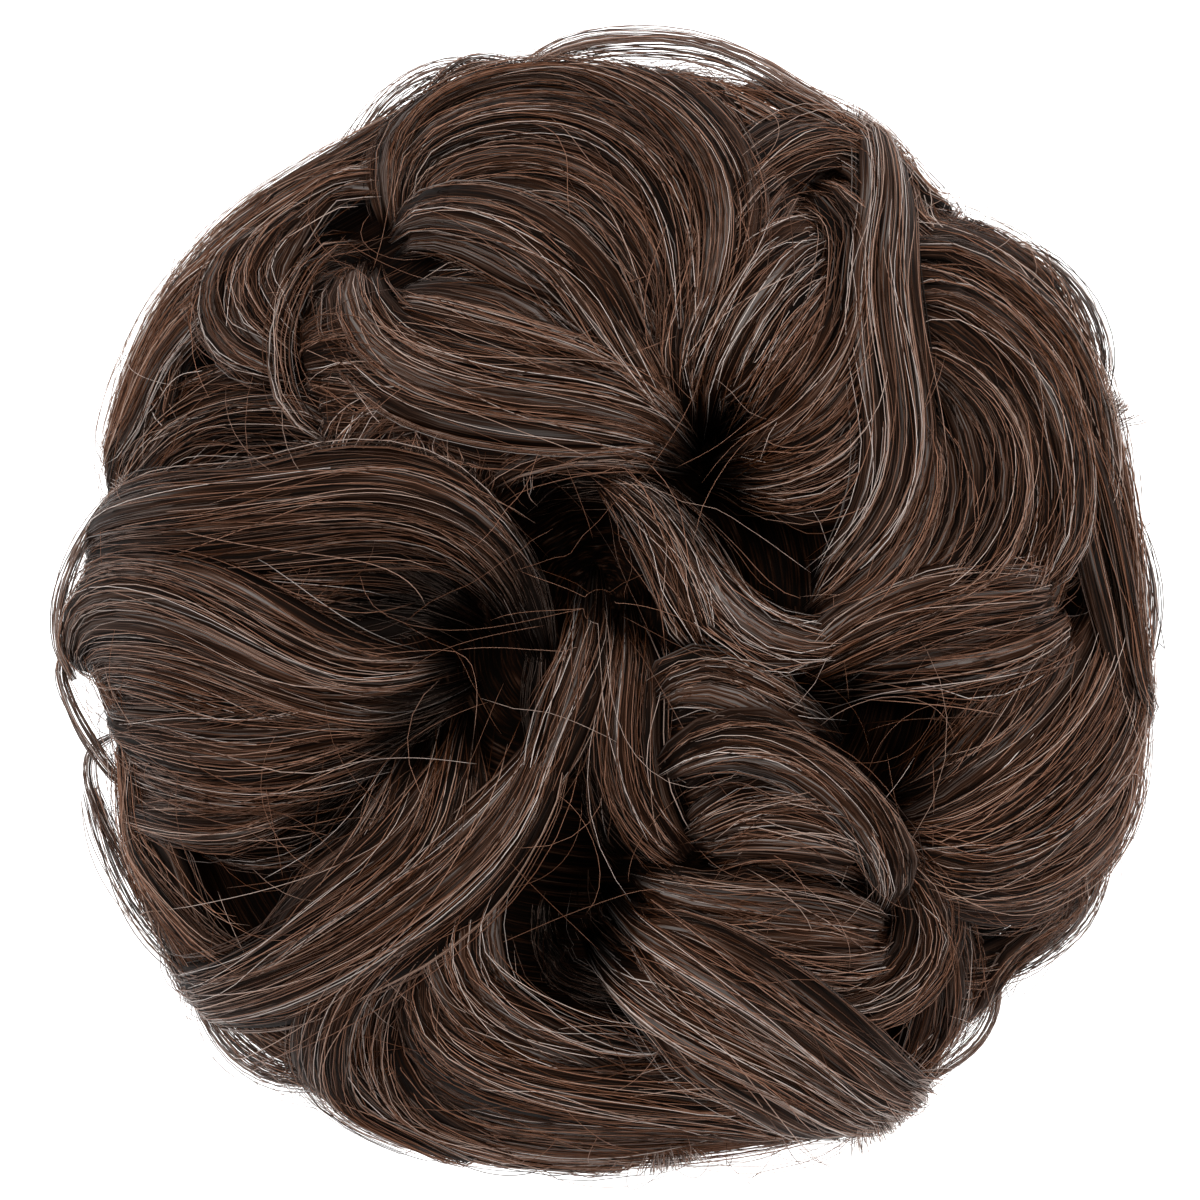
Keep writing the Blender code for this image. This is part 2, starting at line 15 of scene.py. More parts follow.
import bmesh
import bpy
import numpy as np
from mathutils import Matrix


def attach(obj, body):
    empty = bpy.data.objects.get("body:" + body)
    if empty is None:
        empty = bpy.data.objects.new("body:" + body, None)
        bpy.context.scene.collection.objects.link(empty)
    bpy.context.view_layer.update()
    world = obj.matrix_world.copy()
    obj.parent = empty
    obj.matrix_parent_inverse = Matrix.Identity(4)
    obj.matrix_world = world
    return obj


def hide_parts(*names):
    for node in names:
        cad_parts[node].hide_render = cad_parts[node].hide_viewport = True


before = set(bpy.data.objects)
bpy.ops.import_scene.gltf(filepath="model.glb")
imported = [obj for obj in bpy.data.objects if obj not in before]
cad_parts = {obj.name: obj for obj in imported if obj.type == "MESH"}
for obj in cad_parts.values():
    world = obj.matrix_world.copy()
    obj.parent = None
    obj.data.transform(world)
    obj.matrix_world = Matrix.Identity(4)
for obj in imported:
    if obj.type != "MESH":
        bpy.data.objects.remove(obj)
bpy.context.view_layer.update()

LOG = logging.getLogger("top_knot")
MM = 0.001
BODY = "root"
HAIR_NODE = "hair_locks"
BAND_NODE = "elastic_band"

# The photograph's pixel that lies over the origin, and a pixel's real size
PLAN_CENTRE = (599.0, 606.0)
PLAN_UNIT = 150.0 / 1098.0

# The dense edge of the bun, charted over the photograph anticlockwise from +X, in pixels.
# The thin loops that stand off it, with daylight behind them, are pieces of their own
RIM_STOPS = np.array((
    (1121, 606), (1114, 510), (1100, 425), (1072, 352), (1036, 272), (998, 240),
    (928, 214), (902, 172), (868, 140), (780, 98), (700, 76), (648, 86), (560, 88),
    (492, 82), (434, 110), (340, 166), (228, 238), (178, 312), (134, 402), (118, 490),
    (108, 548), (78, 606), (72, 645), (104, 694), (134, 745), (136, 850), (176, 952),
    (240, 1042), (290, 1068), (345, 1090), (410, 1124), (510, 1150), (605, 1158),
    (700, 1148), (800, 1138), (888, 1102), (964, 1036), (1004, 972), (1082, 885),
    (1118, 806), (1130, 720), (1128, 664),
), dtype=float)
OUTLINE_STEPS = 48

# Curls that stand up and hollows between them: x, y in pixels, then rise and radius
SWELLS = np.array((
    (270, 620, 5.0, 22.0),
    (530, 240, 5.0, 24.0),
    (790, 310, 4.0, 18.0),
    (980, 480, 5.0, 24.0),
    (1030, 780, 4.0, 18.0),
    (770, 800, 6.0, 16.0),
    (640, 1070, 3.0, 20.0),
    (370, 960, 4.0, 18.0),
    (548, 520, -11.0, 7.0),
    (572, 575, -12.0, 8.0),
    (646, 612, -9.0, 3.5),
    (488, 655, -12.0, 7.0),
    (500, 715, -11.0, 6.0),
    (590, 880, -12.0, 8.0),
    (562, 940, -12.0, 7.0),
    (545, 978, -8.0, 4.5),
    (608, 1005, -9.0, 6.0),
    (612, 915, -8.0, 5.0),
    (645, 1042, -7.0, 4.5),
    (420, 722, -9.0, 5.5),
    (718, 652, -5.0, 3.5),
    (812, 264, -5.0, 4.5),
    (690, 430, -9.0, 7.0),
    (722, 500, -12.0, 5.5),
    (755, 552, -12.0, 6.0),
    (790, 600, -9.0, 4.0),
    (866, 712, -12.0, 6.0),
    (826, 704, -12.0, 5.5),
    (800, 690, -6.0, 3.5),
    (912, 735, -12.0, 6.5),
    (888, 785, -9.0, 4.5),
    (752, 786, -7.0, 4.5),
    (712, 868, -7.0, 4.0),
    (782, 880, -8.0, 4.5),
    (848, 886, -7.0, 4.0),
    (346, 785, -12.0, 5.0),
    (312, 822, -11.0, 5.0),
    (254, 912, -10.0, 7.0),
    (385, 980, -9.0, 5.0),
    (372, 1030, -7.0, 5.0),
    (218, 362, -5.5, 5.5),
    (350, 228, -7.0, 5.0),
    (262, 468, -8.0, 6.0),
    (360, 600, -7.0, 6.0),
    (435, 600, -8.0, 6.5),
    (674, 488, -10.0, 5.0),
    (710, 530, -10.0, 5.0),
    (404, 738, -10.0, 5.0),
    (655, 330, -6.0, 5.0),
    (560, 322, -8.0, 5.0),
    (604, 366, -7.0, 4.5),
    (740, 424, -9.0, 4.5),
    (920, 405, -7.0, 5.0),
))


class Tone(Enum):
    """How a lock's clumps are shared out: weights of deep, chestnut, auburn and ash fibre.
    Deep fibre is near black and stands partly for painted shade: it goes mostly to the locks that lie low
    in the hollows.
    Ash fibre is pale and cool and stands partly for a painted grey sheen: it goes mostly to the raised
    locks.
    """

    DEEP_AND_SHADE = (0.62, 0.24, 0.10, 0.04)
    CHESTNUT = (0.24, 0.44, 0.20, 0.12)
    AUBURN = (0.16, 0.30, 0.46, 0.08)
    ASH_AND_SHEEN = (0.14, 0.32, 0.14, 0.40)


# A lock this narrow is a loose loop of strands with no body
LOOSE_LOOP_WIDTH = 3.5

# The lowest that any hair lies above the surface that the bun rests on
FOOT_HEIGHT = 0.3

# Where each kind of fibre lies on the colour ramp, in the order that Tone gives
FIBRE_PLACES = np.array((0.10, 0.42, 0.71, 0.93))


# How far a clump winds round its lock from root to tip, in radians
CLUMP_TWIST = 0.25

# Round a lock's oval section, in half widths and half turns: a circle would have 2
OVAL_ROUND = 1.5

# How much of a lock's cell on the bake map is left free along each edge
MAP_MARGIN = 0.04


@dataclass(frozen=True)
class LockRow:
    """One lock of the crown, charted over the photograph, from its root to its tip."""

    name: str
    width: float
    lift: float
    tone: Tone
    path: tuple


CROWN_LOCKS = {
    "left": (
        LockRow("left_swoop", 6.0, 4.0, Tone.ASH_AND_SHEEN, (
            (70, 642), (108, 602), (165, 594), (225, 606), (285, 634), (340, 662), (400, 676), (458, 662)
        )),
        LockRow("left_arch", 5.5, 5.0, Tone.CHESTNUT, (
            (100, 545), (140, 520), (220, 503), (310, 496), (385, 488), (440, 498), (488, 526),
            (522, 566), (542, 612), (549, 662)
        )),
        LockRow("left_arch_inner", 6.0, 3.5, Tone.CHESTNUT, (
            (105, 568), (160, 552), (240, 540), (320, 528), (400, 520), (455, 535), (498, 570),
            (524, 612), (536, 660)
        )),
        LockRow("left_hollow_band", 6.0, 0.5, Tone.DEEP_AND_SHADE, (
            (85, 592), (150, 572), (230, 566), (310, 572), (390, 572), (450, 590), (500, 632)
        )),
        LockRow("left_hollow_low", 6.0, -1.0, Tone.DEEP_AND_SHADE, (
            (220, 596), (300, 606), (370, 612), (430, 618), (480, 640)
        )),
        LockRow("left_mid_a", 5.5, 2.0, Tone.CHESTNUT, (
            (58, 662), (105, 640), (170, 638), (240, 656), (305, 686), (370, 704), (430, 700), (482, 676)
        )),
        LockRow("left_mid_b", 5.5, 1.0, Tone.AUBURN, (
            (75, 680), (125, 668), (190, 680), (255, 706), (320, 712), (390, 716), (445, 700)
        )),
        LockRow("left_mid_c", 4.5, 1.5, Tone.DEEP_AND_SHADE, (
            (100, 700), (150, 708), (210, 716), (270, 710), (340, 724), (410, 722), (465, 698)
        )),
        LockRow("left_low_a", 6.5, 3.0, Tone.AUBURN, (
            (112, 720), (160, 738), (220, 758), (290, 762), (355, 742), (415, 718), (462, 690)
        )),
        LockRow("left_low_b", 6.0, 2.0, Tone.AUBURN, (
            (140, 768), (190, 778), (250, 790), (310, 782), (360, 756), (412, 728), (448, 704)
        )),
        LockRow("left_low_curl", 4.0, 3.0, Tone.CHESTNUT, (
            (160, 812), (200, 822), (255, 822), (305, 802), (348, 776), (392, 744)
        )),
        LockRow("left_low_fringe", 3.5, 0.0, Tone.CHESTNUT, (
            (178, 834), (235, 852), (295, 850), (338, 828), (370, 790), (400, 750)
        )),
        LockRow("left_rim_loop", 3.0, 1.0, Tone.CHESTNUT, (
            (122, 520), (92, 560), (66, 610), (56, 660), (72, 715), (98, 762)
        )),
    ),
    "lower_left": (
        LockRow("low_left_diagonal_a", 7.0, 4.5, Tone.ASH_AND_SHEEN, (
            (552, 712), (532, 785), (488, 846), (428, 892), (368, 930), (300, 966), (235, 985)
        )),
        LockRow("low_left_diagonal_b", 7.0, 3.5, Tone.CHESTNUT, (
            (470, 708), (462, 770), (440, 836), (388, 884), (325, 926), (262, 962), (204, 984)
        )),
        LockRow("low_left_red", 6.0, 1.0, Tone.AUBURN, (
            (440, 712), (418, 770), (392, 820), (355, 870), (310, 910), (262, 940)
        )),
        LockRow("low_left_edge_a", 5.5, 2.5, Tone.CHESTNUT, (
            (120, 762), (146, 828), (184, 886), (222, 936), (262, 966)
        )),
        LockRow("low_left_edge_b", 5.5, 1.0, Tone.AUBURN, (
            (96, 738), (116, 806), (148, 874), (186, 936), (212, 982)
        )),
        LockRow("low_left_edge_c", 3.0, 0.5, Tone.CHESTNUT, (
            (78, 700), (92, 770), (106, 840), (138, 905), (172, 958)
        )),
        LockRow("low_left_rim_bowl", 5.5, 0.5, Tone.AUBURN, (
            (202, 985), (214, 1026), (248, 1058), (300, 1078), (352, 1094)
        )),
        LockRow("low_left_hook_a", 5.5, 4.5, Tone.CHESTNUT, (
            (468, 856), (408, 916), (358, 962), (338, 1012), (346, 1062), (384, 1106), (446, 1138)
        )),
        LockRow("low_left_hook_b", 5.5, 2.5, Tone.AUBURN, (
            (500, 858), (442, 922), (396, 968), (378, 1022), (392, 1076), (438, 1116), (505, 1140)
        )),
        LockRow("low_left_bowl_fill", 6.0, -1.0, Tone.DEEP_AND_SHADE, (
            (232, 992), (268, 1022), (312, 1044), (345, 1070)
        )),
    ),
    "bottom": (
        LockRow("bottom_grey_bowl", 6.0, 3.0, Tone.ASH_AND_SHEEN, (
            (512, 828), (474, 884), (464, 938), (492, 982), (548, 1018), (612, 1040), (690, 1046)
        )),
        LockRow("bottom_auburn_bowl", 6.5, 3.0, Tone.AUBURN, (
            (428, 944), (424, 996), (462, 1034), (528, 1058), (602, 1070), (680, 1080), (762, 1098)
        )),
        LockRow("bottom_band_a", 6.0, 1.5, Tone.AUBURN, (
            (398, 1004), (420, 1058), (472, 1088), (545, 1102), (622, 1108), (702, 1110), (790, 1122)
        )),
        LockRow("bottom_rim", 5.5, 1.5, Tone.CHESTNUT, (
            (352, 1094), (425, 1128), (502, 1144), (584, 1150), (664, 1150), (744, 1146), (812, 1136),
            (864, 1112)
        )),
        LockRow("bottom_rim_low", 3.5, -1.0, Tone.CHESTNUT, (
            (480, 1144), (545, 1158), (612, 1163), (672, 1158)
        )),
        LockRow("bottom_right_band", 6.0, 2.0, Tone.AUBURN, (
            (560, 1102), (640, 1080), (712, 1070), (785, 1082), (850, 1102)
        )),
        LockRow("valley_bowl_a", 6.0, -3.0, Tone.DEEP_AND_SHADE, (
            (540, 880), (530, 935), (560, 985), (620, 1008), (690, 1030)
        )),
        LockRow("valley_bowl_b", 6.0, -4.0, Tone.DEEP_AND_SHADE, ((575, 850), (580, 900), (610, 950), (660, 985))),
    ),
    "lower_right": (
        LockRow("low_right_diagonal_a", 7.0, 4.5, Tone.ASH_AND_SHEEN, (
            (600, 884), (650, 920), (704, 952), (760, 988), (812, 1028), (862, 1068), (902, 1092)
        )),
        LockRow("low_right_diagonal_b", 7.5, 4.0, Tone.ASH_AND_SHEEN, (
            (584, 930), (634, 976), (696, 1012), (756, 1042), (810, 1074), (856, 1102), (888, 1122)
        )),
        LockRow("low_right_upper_a", 6.5, 2.5, Tone.AUBURN, (
            (630, 872), (690, 892), (762, 898), (832, 908), (892, 930)
        )),
        LockRow("low_right_upper_b", 6.5, 1.0, Tone.CHESTNUT, (
            (650, 908), (714, 926), (782, 944), (850, 956), (906, 950)
        )),
        LockRow("low_right_scoop", 5.0, 2.0, Tone.CHESTNUT, (
            (874, 838), (912, 868), (926, 918), (908, 966), (864, 998), (804, 1006)
        )),
        LockRow("low_right_drop", 5.0, 1.0, Tone.CHESTNUT, (
            (930, 888), (946, 950), (942, 1010), (920, 1062), (900, 1092)
        )),
        LockRow("low_right_rim_a", 5.0, 1.5, Tone.AUBURN, (
            (1128, 780), (1108, 846), (1076, 902), (1030, 946), (974, 968), (926, 976)
        )),
        LockRow("low_right_rim_b", 3.0, 0.5, Tone.AUBURN, (
            (992, 982), (992, 1024), (968, 1058), (934, 1080), (902, 1096)
        )),
        LockRow("low_right_rim_c", 4.5, 0.0, Tone.CHESTNUT, (
            (950, 985), (962, 1022), (946, 1056), (916, 1078)
        )),
    ),
    "mid_right": (
        LockRow("mid_right_grey_arch", 5.0, 3.5, Tone.ASH_AND_SHEEN, (
            (646, 700), (674, 674), (714, 668), (756, 684), (796, 712), (838, 742)
        )),
        LockRow("mid_right_big_arch", 4.8, 5.0, Tone.ASH_AND_SHEEN, (
            (655, 772), (688, 742), (736, 732), (786, 742), (832, 772), (866, 814), (882, 862),
            (878, 908)
        )),
        LockRow("mid_right_inner_a", 4.0, 0.5, Tone.DEEP_AND_SHADE, (
            (672, 806), (716, 782), (768, 776), (816, 792), (852, 828)
        )),
        LockRow("mid_right_inner_b", 6.0, 2.5, Tone.ASH_AND_SHEEN, (
            (682, 836), (730, 812), (784, 808), (832, 820), (872, 848)
        )),
        LockRow("mid_right_inner_c", 4.0, 0.5, Tone.AUBURN, (
            (692, 862), (745, 842), (802, 842), (850, 858), (882, 884)
        )),
        LockRow("mid_right_weave", 5.0, 0.0, Tone.DEEP_AND_SHADE, (
            (650, 722), (692, 712), (745, 716), (795, 732), (842, 756)
        )),
    ),
    "right": (
        LockRow("right_swoop_a", 6.5, 4.0, Tone.CHESTNUT, (
            (782, 682), (828, 652), (882, 626), (940, 608), (1002, 602), (1048, 592)
        )),
        LockRow("right_swoop_b", 6.0, 3.5, Tone.CHESTNUT, (
            (792, 690), (852, 672), (922, 664), (986, 652), (1034, 632), (1064, 612)
        )),
        LockRow("right_fan_a", 7.0, 2.0, Tone.CHESTNUT, (
            (884, 802), (934, 764), (984, 714), (1028, 662), (1062, 612)
        )),
        LockRow("right_fan_b", 7.0, 2.5, Tone.AUBURN, (
            (888, 830), (950, 812), (1010, 776), (1058, 726), (1088, 668), (1098, 612)
        )),
        LockRow("right_fan_c", 6.5, 3.5, Tone.CHESTNUT, (
            (896, 842), (958, 852), (1018, 832), (1068, 788), (1102, 730), (1118, 668)
        )),
        LockRow("right_fan_d", 6.0, 3.0, Tone.AUBURN, (
            (892, 852), (948, 878), (1010, 876), (1062, 846), (1102, 800), (1128, 738), (1134, 676)
        )),
        LockRow("right_cover_a", 5.0, 4.8, Tone.CHESTNUT, (
            (1040, 400), (1064, 470), (1080, 540), (1092, 610), (1102, 690)
        )),
        LockRow("right_cover_b", 5.0, 3.6, Tone.AUBURN, (
            (1074, 430), (1098, 500), (1114, 560), (1122, 630), (1124, 710)
        )),
        LockRow("right_under_fan", 5.0, -1.0, Tone.DEEP_AND_SHADE, (
            (928, 890), (982, 908), (1036, 896), (1082, 858), (1112, 806)
        )),
        LockRow("right_rim_long", 4.5, 1.0, Tone.CHESTNUT, (
            (1096, 440), (1118, 500), (1134, 566), (1138, 636), (1132, 706), (1126, 770)
        )),
        LockRow("right_rim_loop", 2.5, 1.0, Tone.CHESTNUT, (
            (1112, 478), (1136, 535), (1147, 600), (1145, 655), (1136, 712)
        )),
    ),
    "upper_right": (
        LockRow("upper_right_outer", 6.5, 4.0, Tone.CHESTNUT, (
            (874, 262), (934, 272), (990, 302), (1034, 350), (1062, 412), (1072, 480), (1070, 548)
        )),
        LockRow("upper_right_mid", 7.0, 4.0, Tone.AUBURN, (
            (884, 304), (940, 314), (988, 348), (1026, 402), (1044, 468), (1044, 538), (1020, 598)
        )),
        LockRow("upper_right_inner", 6.5, 3.5, Tone.CHESTNUT, (
            (890, 350), (934, 372), (972, 412), (992, 466), (986, 526), (952, 580), (902, 616)
        )),
        LockRow("upper_right_core", 6.5, 0.5, Tone.CHESTNUT, (
            (902, 404), (938, 436), (952, 486), (936, 540), (896, 586), (846, 616)
        )),
        LockRow("upper_right_grey_drop", 5.5, 5.0, Tone.ASH_AND_SHEEN, (
            (862, 172), (870, 240), (872, 312), (882, 384), (888, 448), (878, 506), (848, 552),
            (812, 588)
        )),
        LockRow("upper_right_drop_b", 6.0, 3.0, Tone.AUBURN, (
            (884, 400), (908, 452), (906, 510), (878, 560), (840, 598), (802, 620)
        )),
        LockRow("upper_right_edge", 6.0, 3.0, Tone.CHESTNUT, (
            (1052, 330), (1076, 386), (1084, 448), (1094, 512), (1104, 576), (1104, 640), (1092, 702)
        )),
        LockRow("upper_right_curl", 6.0, 2.5, Tone.CHESTNUT, (
            (930, 262), (962, 238), (1002, 242), (1028, 282), (1044, 334), (1062, 390)
        )),
        LockRow("upper_right_loop", 2.5, 0.5, Tone.CHESTNUT, (
            (1018, 238), (1062, 262), (1090, 306), (1100, 358), (1096, 408)
        )),
        LockRow("upper_right_cheek", 6.5, 1.5, Tone.AUBURN, (
            (1000, 470), (1020, 530), (1010, 590), (960, 640)
        )),
    ),
    "top_right": (
        LockRow("top_right_fan_a", 6.5, 3.0, Tone.CHESTNUT, (
            (690, 448), (676, 388), (680, 326), (708, 266), (744, 212), (790, 176)
        )),
        LockRow("top_right_fan_b", 6.5, 3.5, Tone.ASH_AND_SHEEN, (
            (700, 450), (706, 396), (728, 340), (762, 292), (800, 258), (832, 246)
        )),
        LockRow("top_right_fan_c", 6.5, 2.0, Tone.AUBURN, (
            (716, 448), (746, 404), (786, 352), (816, 308), (836, 272)
        )),
        LockRow("top_right_scoop_a", 6.0, 3.5, Tone.CHESTNUT, (
            (700, 464), (758, 446), (810, 402), (842, 348), (852, 286), (842, 226), (806, 180)
        )),
        LockRow("top_right_scoop_b", 6.0, 2.5, Tone.AUBURN, (
            (700, 474), (768, 470), (828, 440), (862, 390), (866, 330)
        )),
        LockRow("top_right_scoop_c", 6.5, 1.0, Tone.CHESTNUT, (
            (696, 482), (752, 492), (812, 488), (852, 458), (880, 414)
        )),
        LockRow("top_right_veil", 5.0, 3.0, Tone.CHESTNUT, (
            (672, 330), (692, 256), (734, 196), (788, 160), (842, 156), (872, 190)
        )),
        LockRow("top_right_fill", 6.0, -1.0, Tone.DEEP_AND_SHADE, (
            (786, 200), (818, 172), (852, 156), (888, 172)
        )),
        LockRow("top_right_inner", 6.5, -0.5, Tone.DEEP_AND_SHADE, (
            (740, 262), (770, 240), (812, 246), (832, 290), (826, 340)
        )),
    ),
    "crown": (
        LockRow("crown_outer", 7.0, 4.5, Tone.CHESTNUT, (
            (394, 236), (398, 184), (436, 134), (502, 108), (580, 106), (648, 132), (700, 180),
            (716, 240), (704, 310), (688, 372)
        )),
        LockRow("crown_second", 7.0, 3.5, Tone.CHESTNUT, (
            (402, 240), (418, 190), (462, 156), (528, 144), (592, 156), (644, 192), (676, 250),
            (684, 320), (684, 388)
        )),
        LockRow("crown_third", 7.0, 2.0, Tone.AUBURN, (
            (408, 250), (448, 204), (514, 190), (578, 206), (628, 250), (660, 314), (678, 390)
        )),
        LockRow("crown_inner_arch", 6.0, 5.0, Tone.ASH_AND_SHEEN, (
            (392, 248), (436, 236), (492, 242), (544, 272), (590, 316), (634, 374), (672, 432)
        )),
        LockRow("crown_fan_high", 5.0, 0.5, Tone.DEEP_AND_SHADE, (
            (412, 300), (462, 280), (512, 286), (560, 326), (612, 380), (664, 436)
        )),
        LockRow("crown_fan_mid", 7.0, 4.0, Tone.CHESTNUT, (
            (384, 312), (446, 330), (518, 352), (590, 378), (644, 414), (688, 452)
        )),
        LockRow("crown_fan_low", 7.0, 5.0, Tone.ASH_AND_SHEEN, (
            (366, 268), (364, 322), (394, 366), (450, 392), (522, 404), (592, 412), (650, 428),
            (694, 458)
        )),
        LockRow("crown_fan_base", 6.0, 2.5, Tone.AUBURN, (
            (396, 386), (448, 418), (520, 430), (590, 428), (650, 440), (696, 464)
        )),
        LockRow("crown_lip", 5.5, 3.0, Tone.AUBURN, (
            (478, 492), (522, 462), (584, 448), (646, 452), (698, 470)
        )),
        LockRow("crown_under_lip", 5.0, -2.0, Tone.DEEP_AND_SHADE, ((500, 520), (548, 486), (610, 474), (680, 480))),
    ),
    "upper_left": (
        LockRow("upper_left_hook", 3.0, 5.0, Tone.ASH_AND_SHEEN, (
            (372, 250), (332, 280), (306, 324), (298, 374), (308, 418), (338, 448)
        )),
        LockRow("upper_left_inner_band", 7.0, 4.0, Tone.AUBURN, (
            (306, 372), (352, 362), (404, 368), (452, 384)
        )),
        LockRow("upper_left_inner_low", 6.0, 2.5, Tone.AUBURN, (
            (318, 412), (362, 402), (410, 400), (456, 408)
        )),
        LockRow("upper_left_inner_top", 6.5, 0.0, Tone.DEEP_AND_SHADE, ((310, 330), (336, 300), (372, 286))),
        LockRow("upper_left_rim", 6.0, 3.0, Tone.CHESTNUT, (
            (118, 478), (122, 412), (146, 346), (184, 286), (234, 236), (296, 194), (356, 164),
            (420, 140)
        )),
        LockRow("upper_left_second", 6.5, 3.5, Tone.AUBURN, (
            (134, 450), (154, 378), (194, 316), (246, 270), (304, 228), (358, 196), (408, 176)
        )),
        LockRow("upper_left_third", 6.0, 3.0, Tone.ASH_AND_SHEEN, (
            (152, 440), (180, 372), (222, 322), (262, 292), (300, 262)
        )),
        LockRow("upper_left_grey_hook", 5.0, 4.8, Tone.ASH_AND_SHEEN, (
            (292, 238), (256, 272), (238, 312), (246, 350), (276, 374), (306, 384)
        )),
        LockRow("upper_left_hook_b", 4.5, 4.0, Tone.CHESTNUT, (
            (330, 222), (288, 258), (270, 298), (284, 334), (306, 356)
        )),
        LockRow("upper_left_shade_a", 6.5, 0.0, Tone.DEEP_AND_SHADE, (
            (130, 486), (158, 432), (206, 400), (262, 386), (306, 392)
        )),
        LockRow("upper_left_shade_b", 6.0, 0.5, Tone.DEEP_AND_SHADE, (
            (150, 486), (190, 442), (246, 424), (304, 428), (352, 452)
        )),
        LockRow("upper_left_shade_c", 5.5, -0.5, Tone.DEEP_AND_SHADE, (
            (180, 494), (226, 464), (278, 452), (332, 470), (372, 494)
        )),
        LockRow("upper_left_skirt_a", 6.0, 1.5, Tone.CHESTNUT, (
            (456, 404), (404, 412), (370, 440), (350, 484)
        )),
        LockRow("upper_left_skirt_b", 6.5, 0.5, Tone.AUBURN, ((420, 420), (432, 456), (452, 500))),
        LockRow("upper_left_skirt_c", 6.0, 0.0, Tone.DEEP_AND_SHADE, ((470, 430), (486, 460), (480, 500))),
    ),
    "top_rim": (
        LockRow("top_loop_outer", 3.5, 1.5, Tone.CHESTNUT, (
            (520, 82), (560, 60), (612, 47), (672, 48), (732, 66), (784, 98), (830, 128), (868, 156)
        )),
        LockRow("top_loop_second", 4.5, 1.0, Tone.CHESTNUT, (
            (556, 98), (622, 90), (684, 96), (742, 116), (792, 146), (832, 182)
        )),
        LockRow("top_loop_left", 4.0, 0.5, Tone.CHESTNUT, (
            (372, 138), (408, 100), (452, 74), (502, 68), (560, 82), (624, 92)
        )),
        LockRow("top_right_rim_a", 5.5, 3.0, Tone.ASH_AND_SHEEN, (
            (772, 104), (830, 124), (878, 148), (904, 184), (920, 228)
        )),
        LockRow("top_right_rim_b", 5.5, 2.5, Tone.ASH_AND_SHEEN, (
            (800, 148), (852, 160), (888, 196), (904, 240), (950, 262)
        )),
    ),
    "centre": (
        LockRow("centre_bright_a", 6.0, 4.0, Tone.ASH_AND_SHEEN, (
            (596, 476), (636, 512), (664, 560), (686, 612), (702, 648)
        )),
        LockRow("centre_bright_b", 6.0, 4.0, Tone.ASH_AND_SHEEN, (
            (612, 478), (656, 512), (692, 562), (730, 614), (784, 644), (850, 642)
        )),
        LockRow("centre_tail_a", 5.0, 3.0, Tone.ASH_AND_SHEEN, (
            (596, 562), (592, 616), (580, 664), (562, 708), (546, 758), (524, 808)
        )),
        LockRow("centre_tail_b", 5.0, 1.5, Tone.CHESTNUT, (
            (628, 596), (632, 656), (624, 716), (628, 776), (652, 826), (692, 866)
        )),
        LockRow("centre_tail_c", 4.5, -4.0, Tone.DEEP_AND_SHADE, (
            (560, 540), (556, 600), (548, 660), (540, 716), (548, 780)
        )),
        LockRow("centre_tail_d", 4.5, -2.0, Tone.CHESTNUT, (
            (600, 700), (598, 760), (612, 820), (640, 870)
        )),
    ),
}


@dataclass(frozen=True)
class RingRow:
    """A ring of alike locks on the sides. Arcs run from 0, the top, through 1, the rim, to 2."""

    name: str
    count: int
    first_turn: float
    sweep: float
    arc_start: float
    arc_end: float
    wave: float
    width: float
    lift: float
    tone: Tone


SIDE_RINGS = (
    RingRow("shoulder_curls", 12, 8.0, 34.0, 0.84, 1.18, 0.12, 7.0, -0.2, Tone.CHESTNUT),
    RingRow("rim_curls", 14, 24.0, -34.0, 0.94, 1.34, 0.11, 8.0, 0.2, Tone.AUBURN),
    RingRow("skirt_curls", 13, 0.0, 38.0, 1.12, 1.54, 0.07, 9.0, 0.6, Tone.CHESTNUT),
    RingRow("base_locks", 16, 6.0, -26.0, 1.28, 1.70, 0.03, 9.0, -1.2, Tone.CHESTNUT),
)


def chart_outline(stops: np.ndarray, count: int) -> np.ndarray:
    """Turns charted stops into the outline's radius at even steps of angle.

    Args:
        stops: The stops in pixels of the photograph.
        count: How many steps go round.

    Returns:
        The radii in millimetres, anticlockwise from +X.
    """
    east = (stops[:, 0] - PLAN_CENTRE[0]) * PLAN_UNIT
    north = (PLAN_CENTRE[1] - stops[:, 1]) * PLAN_UNIT
    steps = np.arange(count) * math.tau / count
    return np.interp(steps, np.arctan2(north, east), np.hypot(east, north), period=math.tau)


OUTLINE = chart_outline(RIM_STOPS, OUTLINE_STEPS)


def blend_noise(rng: np.random.Generator, shape: tuple, waves: int) -> np.ndarray:
    """Makes smooth wandering curves with no jumps, one to a row.

    Args:
        rng: The seeded source of chance.
        shape: Rows and stations.
        waves: How many sine waves are added up.

    Returns:
        An array of the shape, with most values between -1 and 1.
    """
    rows, stations = shape
    along = np.linspace(0.0, 1.0, stations)[None, :]
    total = np.zeros(shape)
    for wave in range(1, waves + 1):
        phase = rng.uniform(0.0, math.tau, (rows, 1))
        pace = rng.uniform(0.6, 1.3, (rows, 1)) * wave
        total += np.sin(math.pi * pace * along + phase) / wave
    return total / 1.3


def unit(vectors: np.ndarray) -> np.ndarray:
    """Scales each vector in the last axis to a length of one."""
    return vectors / np.maximum(np.linalg.norm(vectors, axis=-1, keepdims=True), 1e-9)


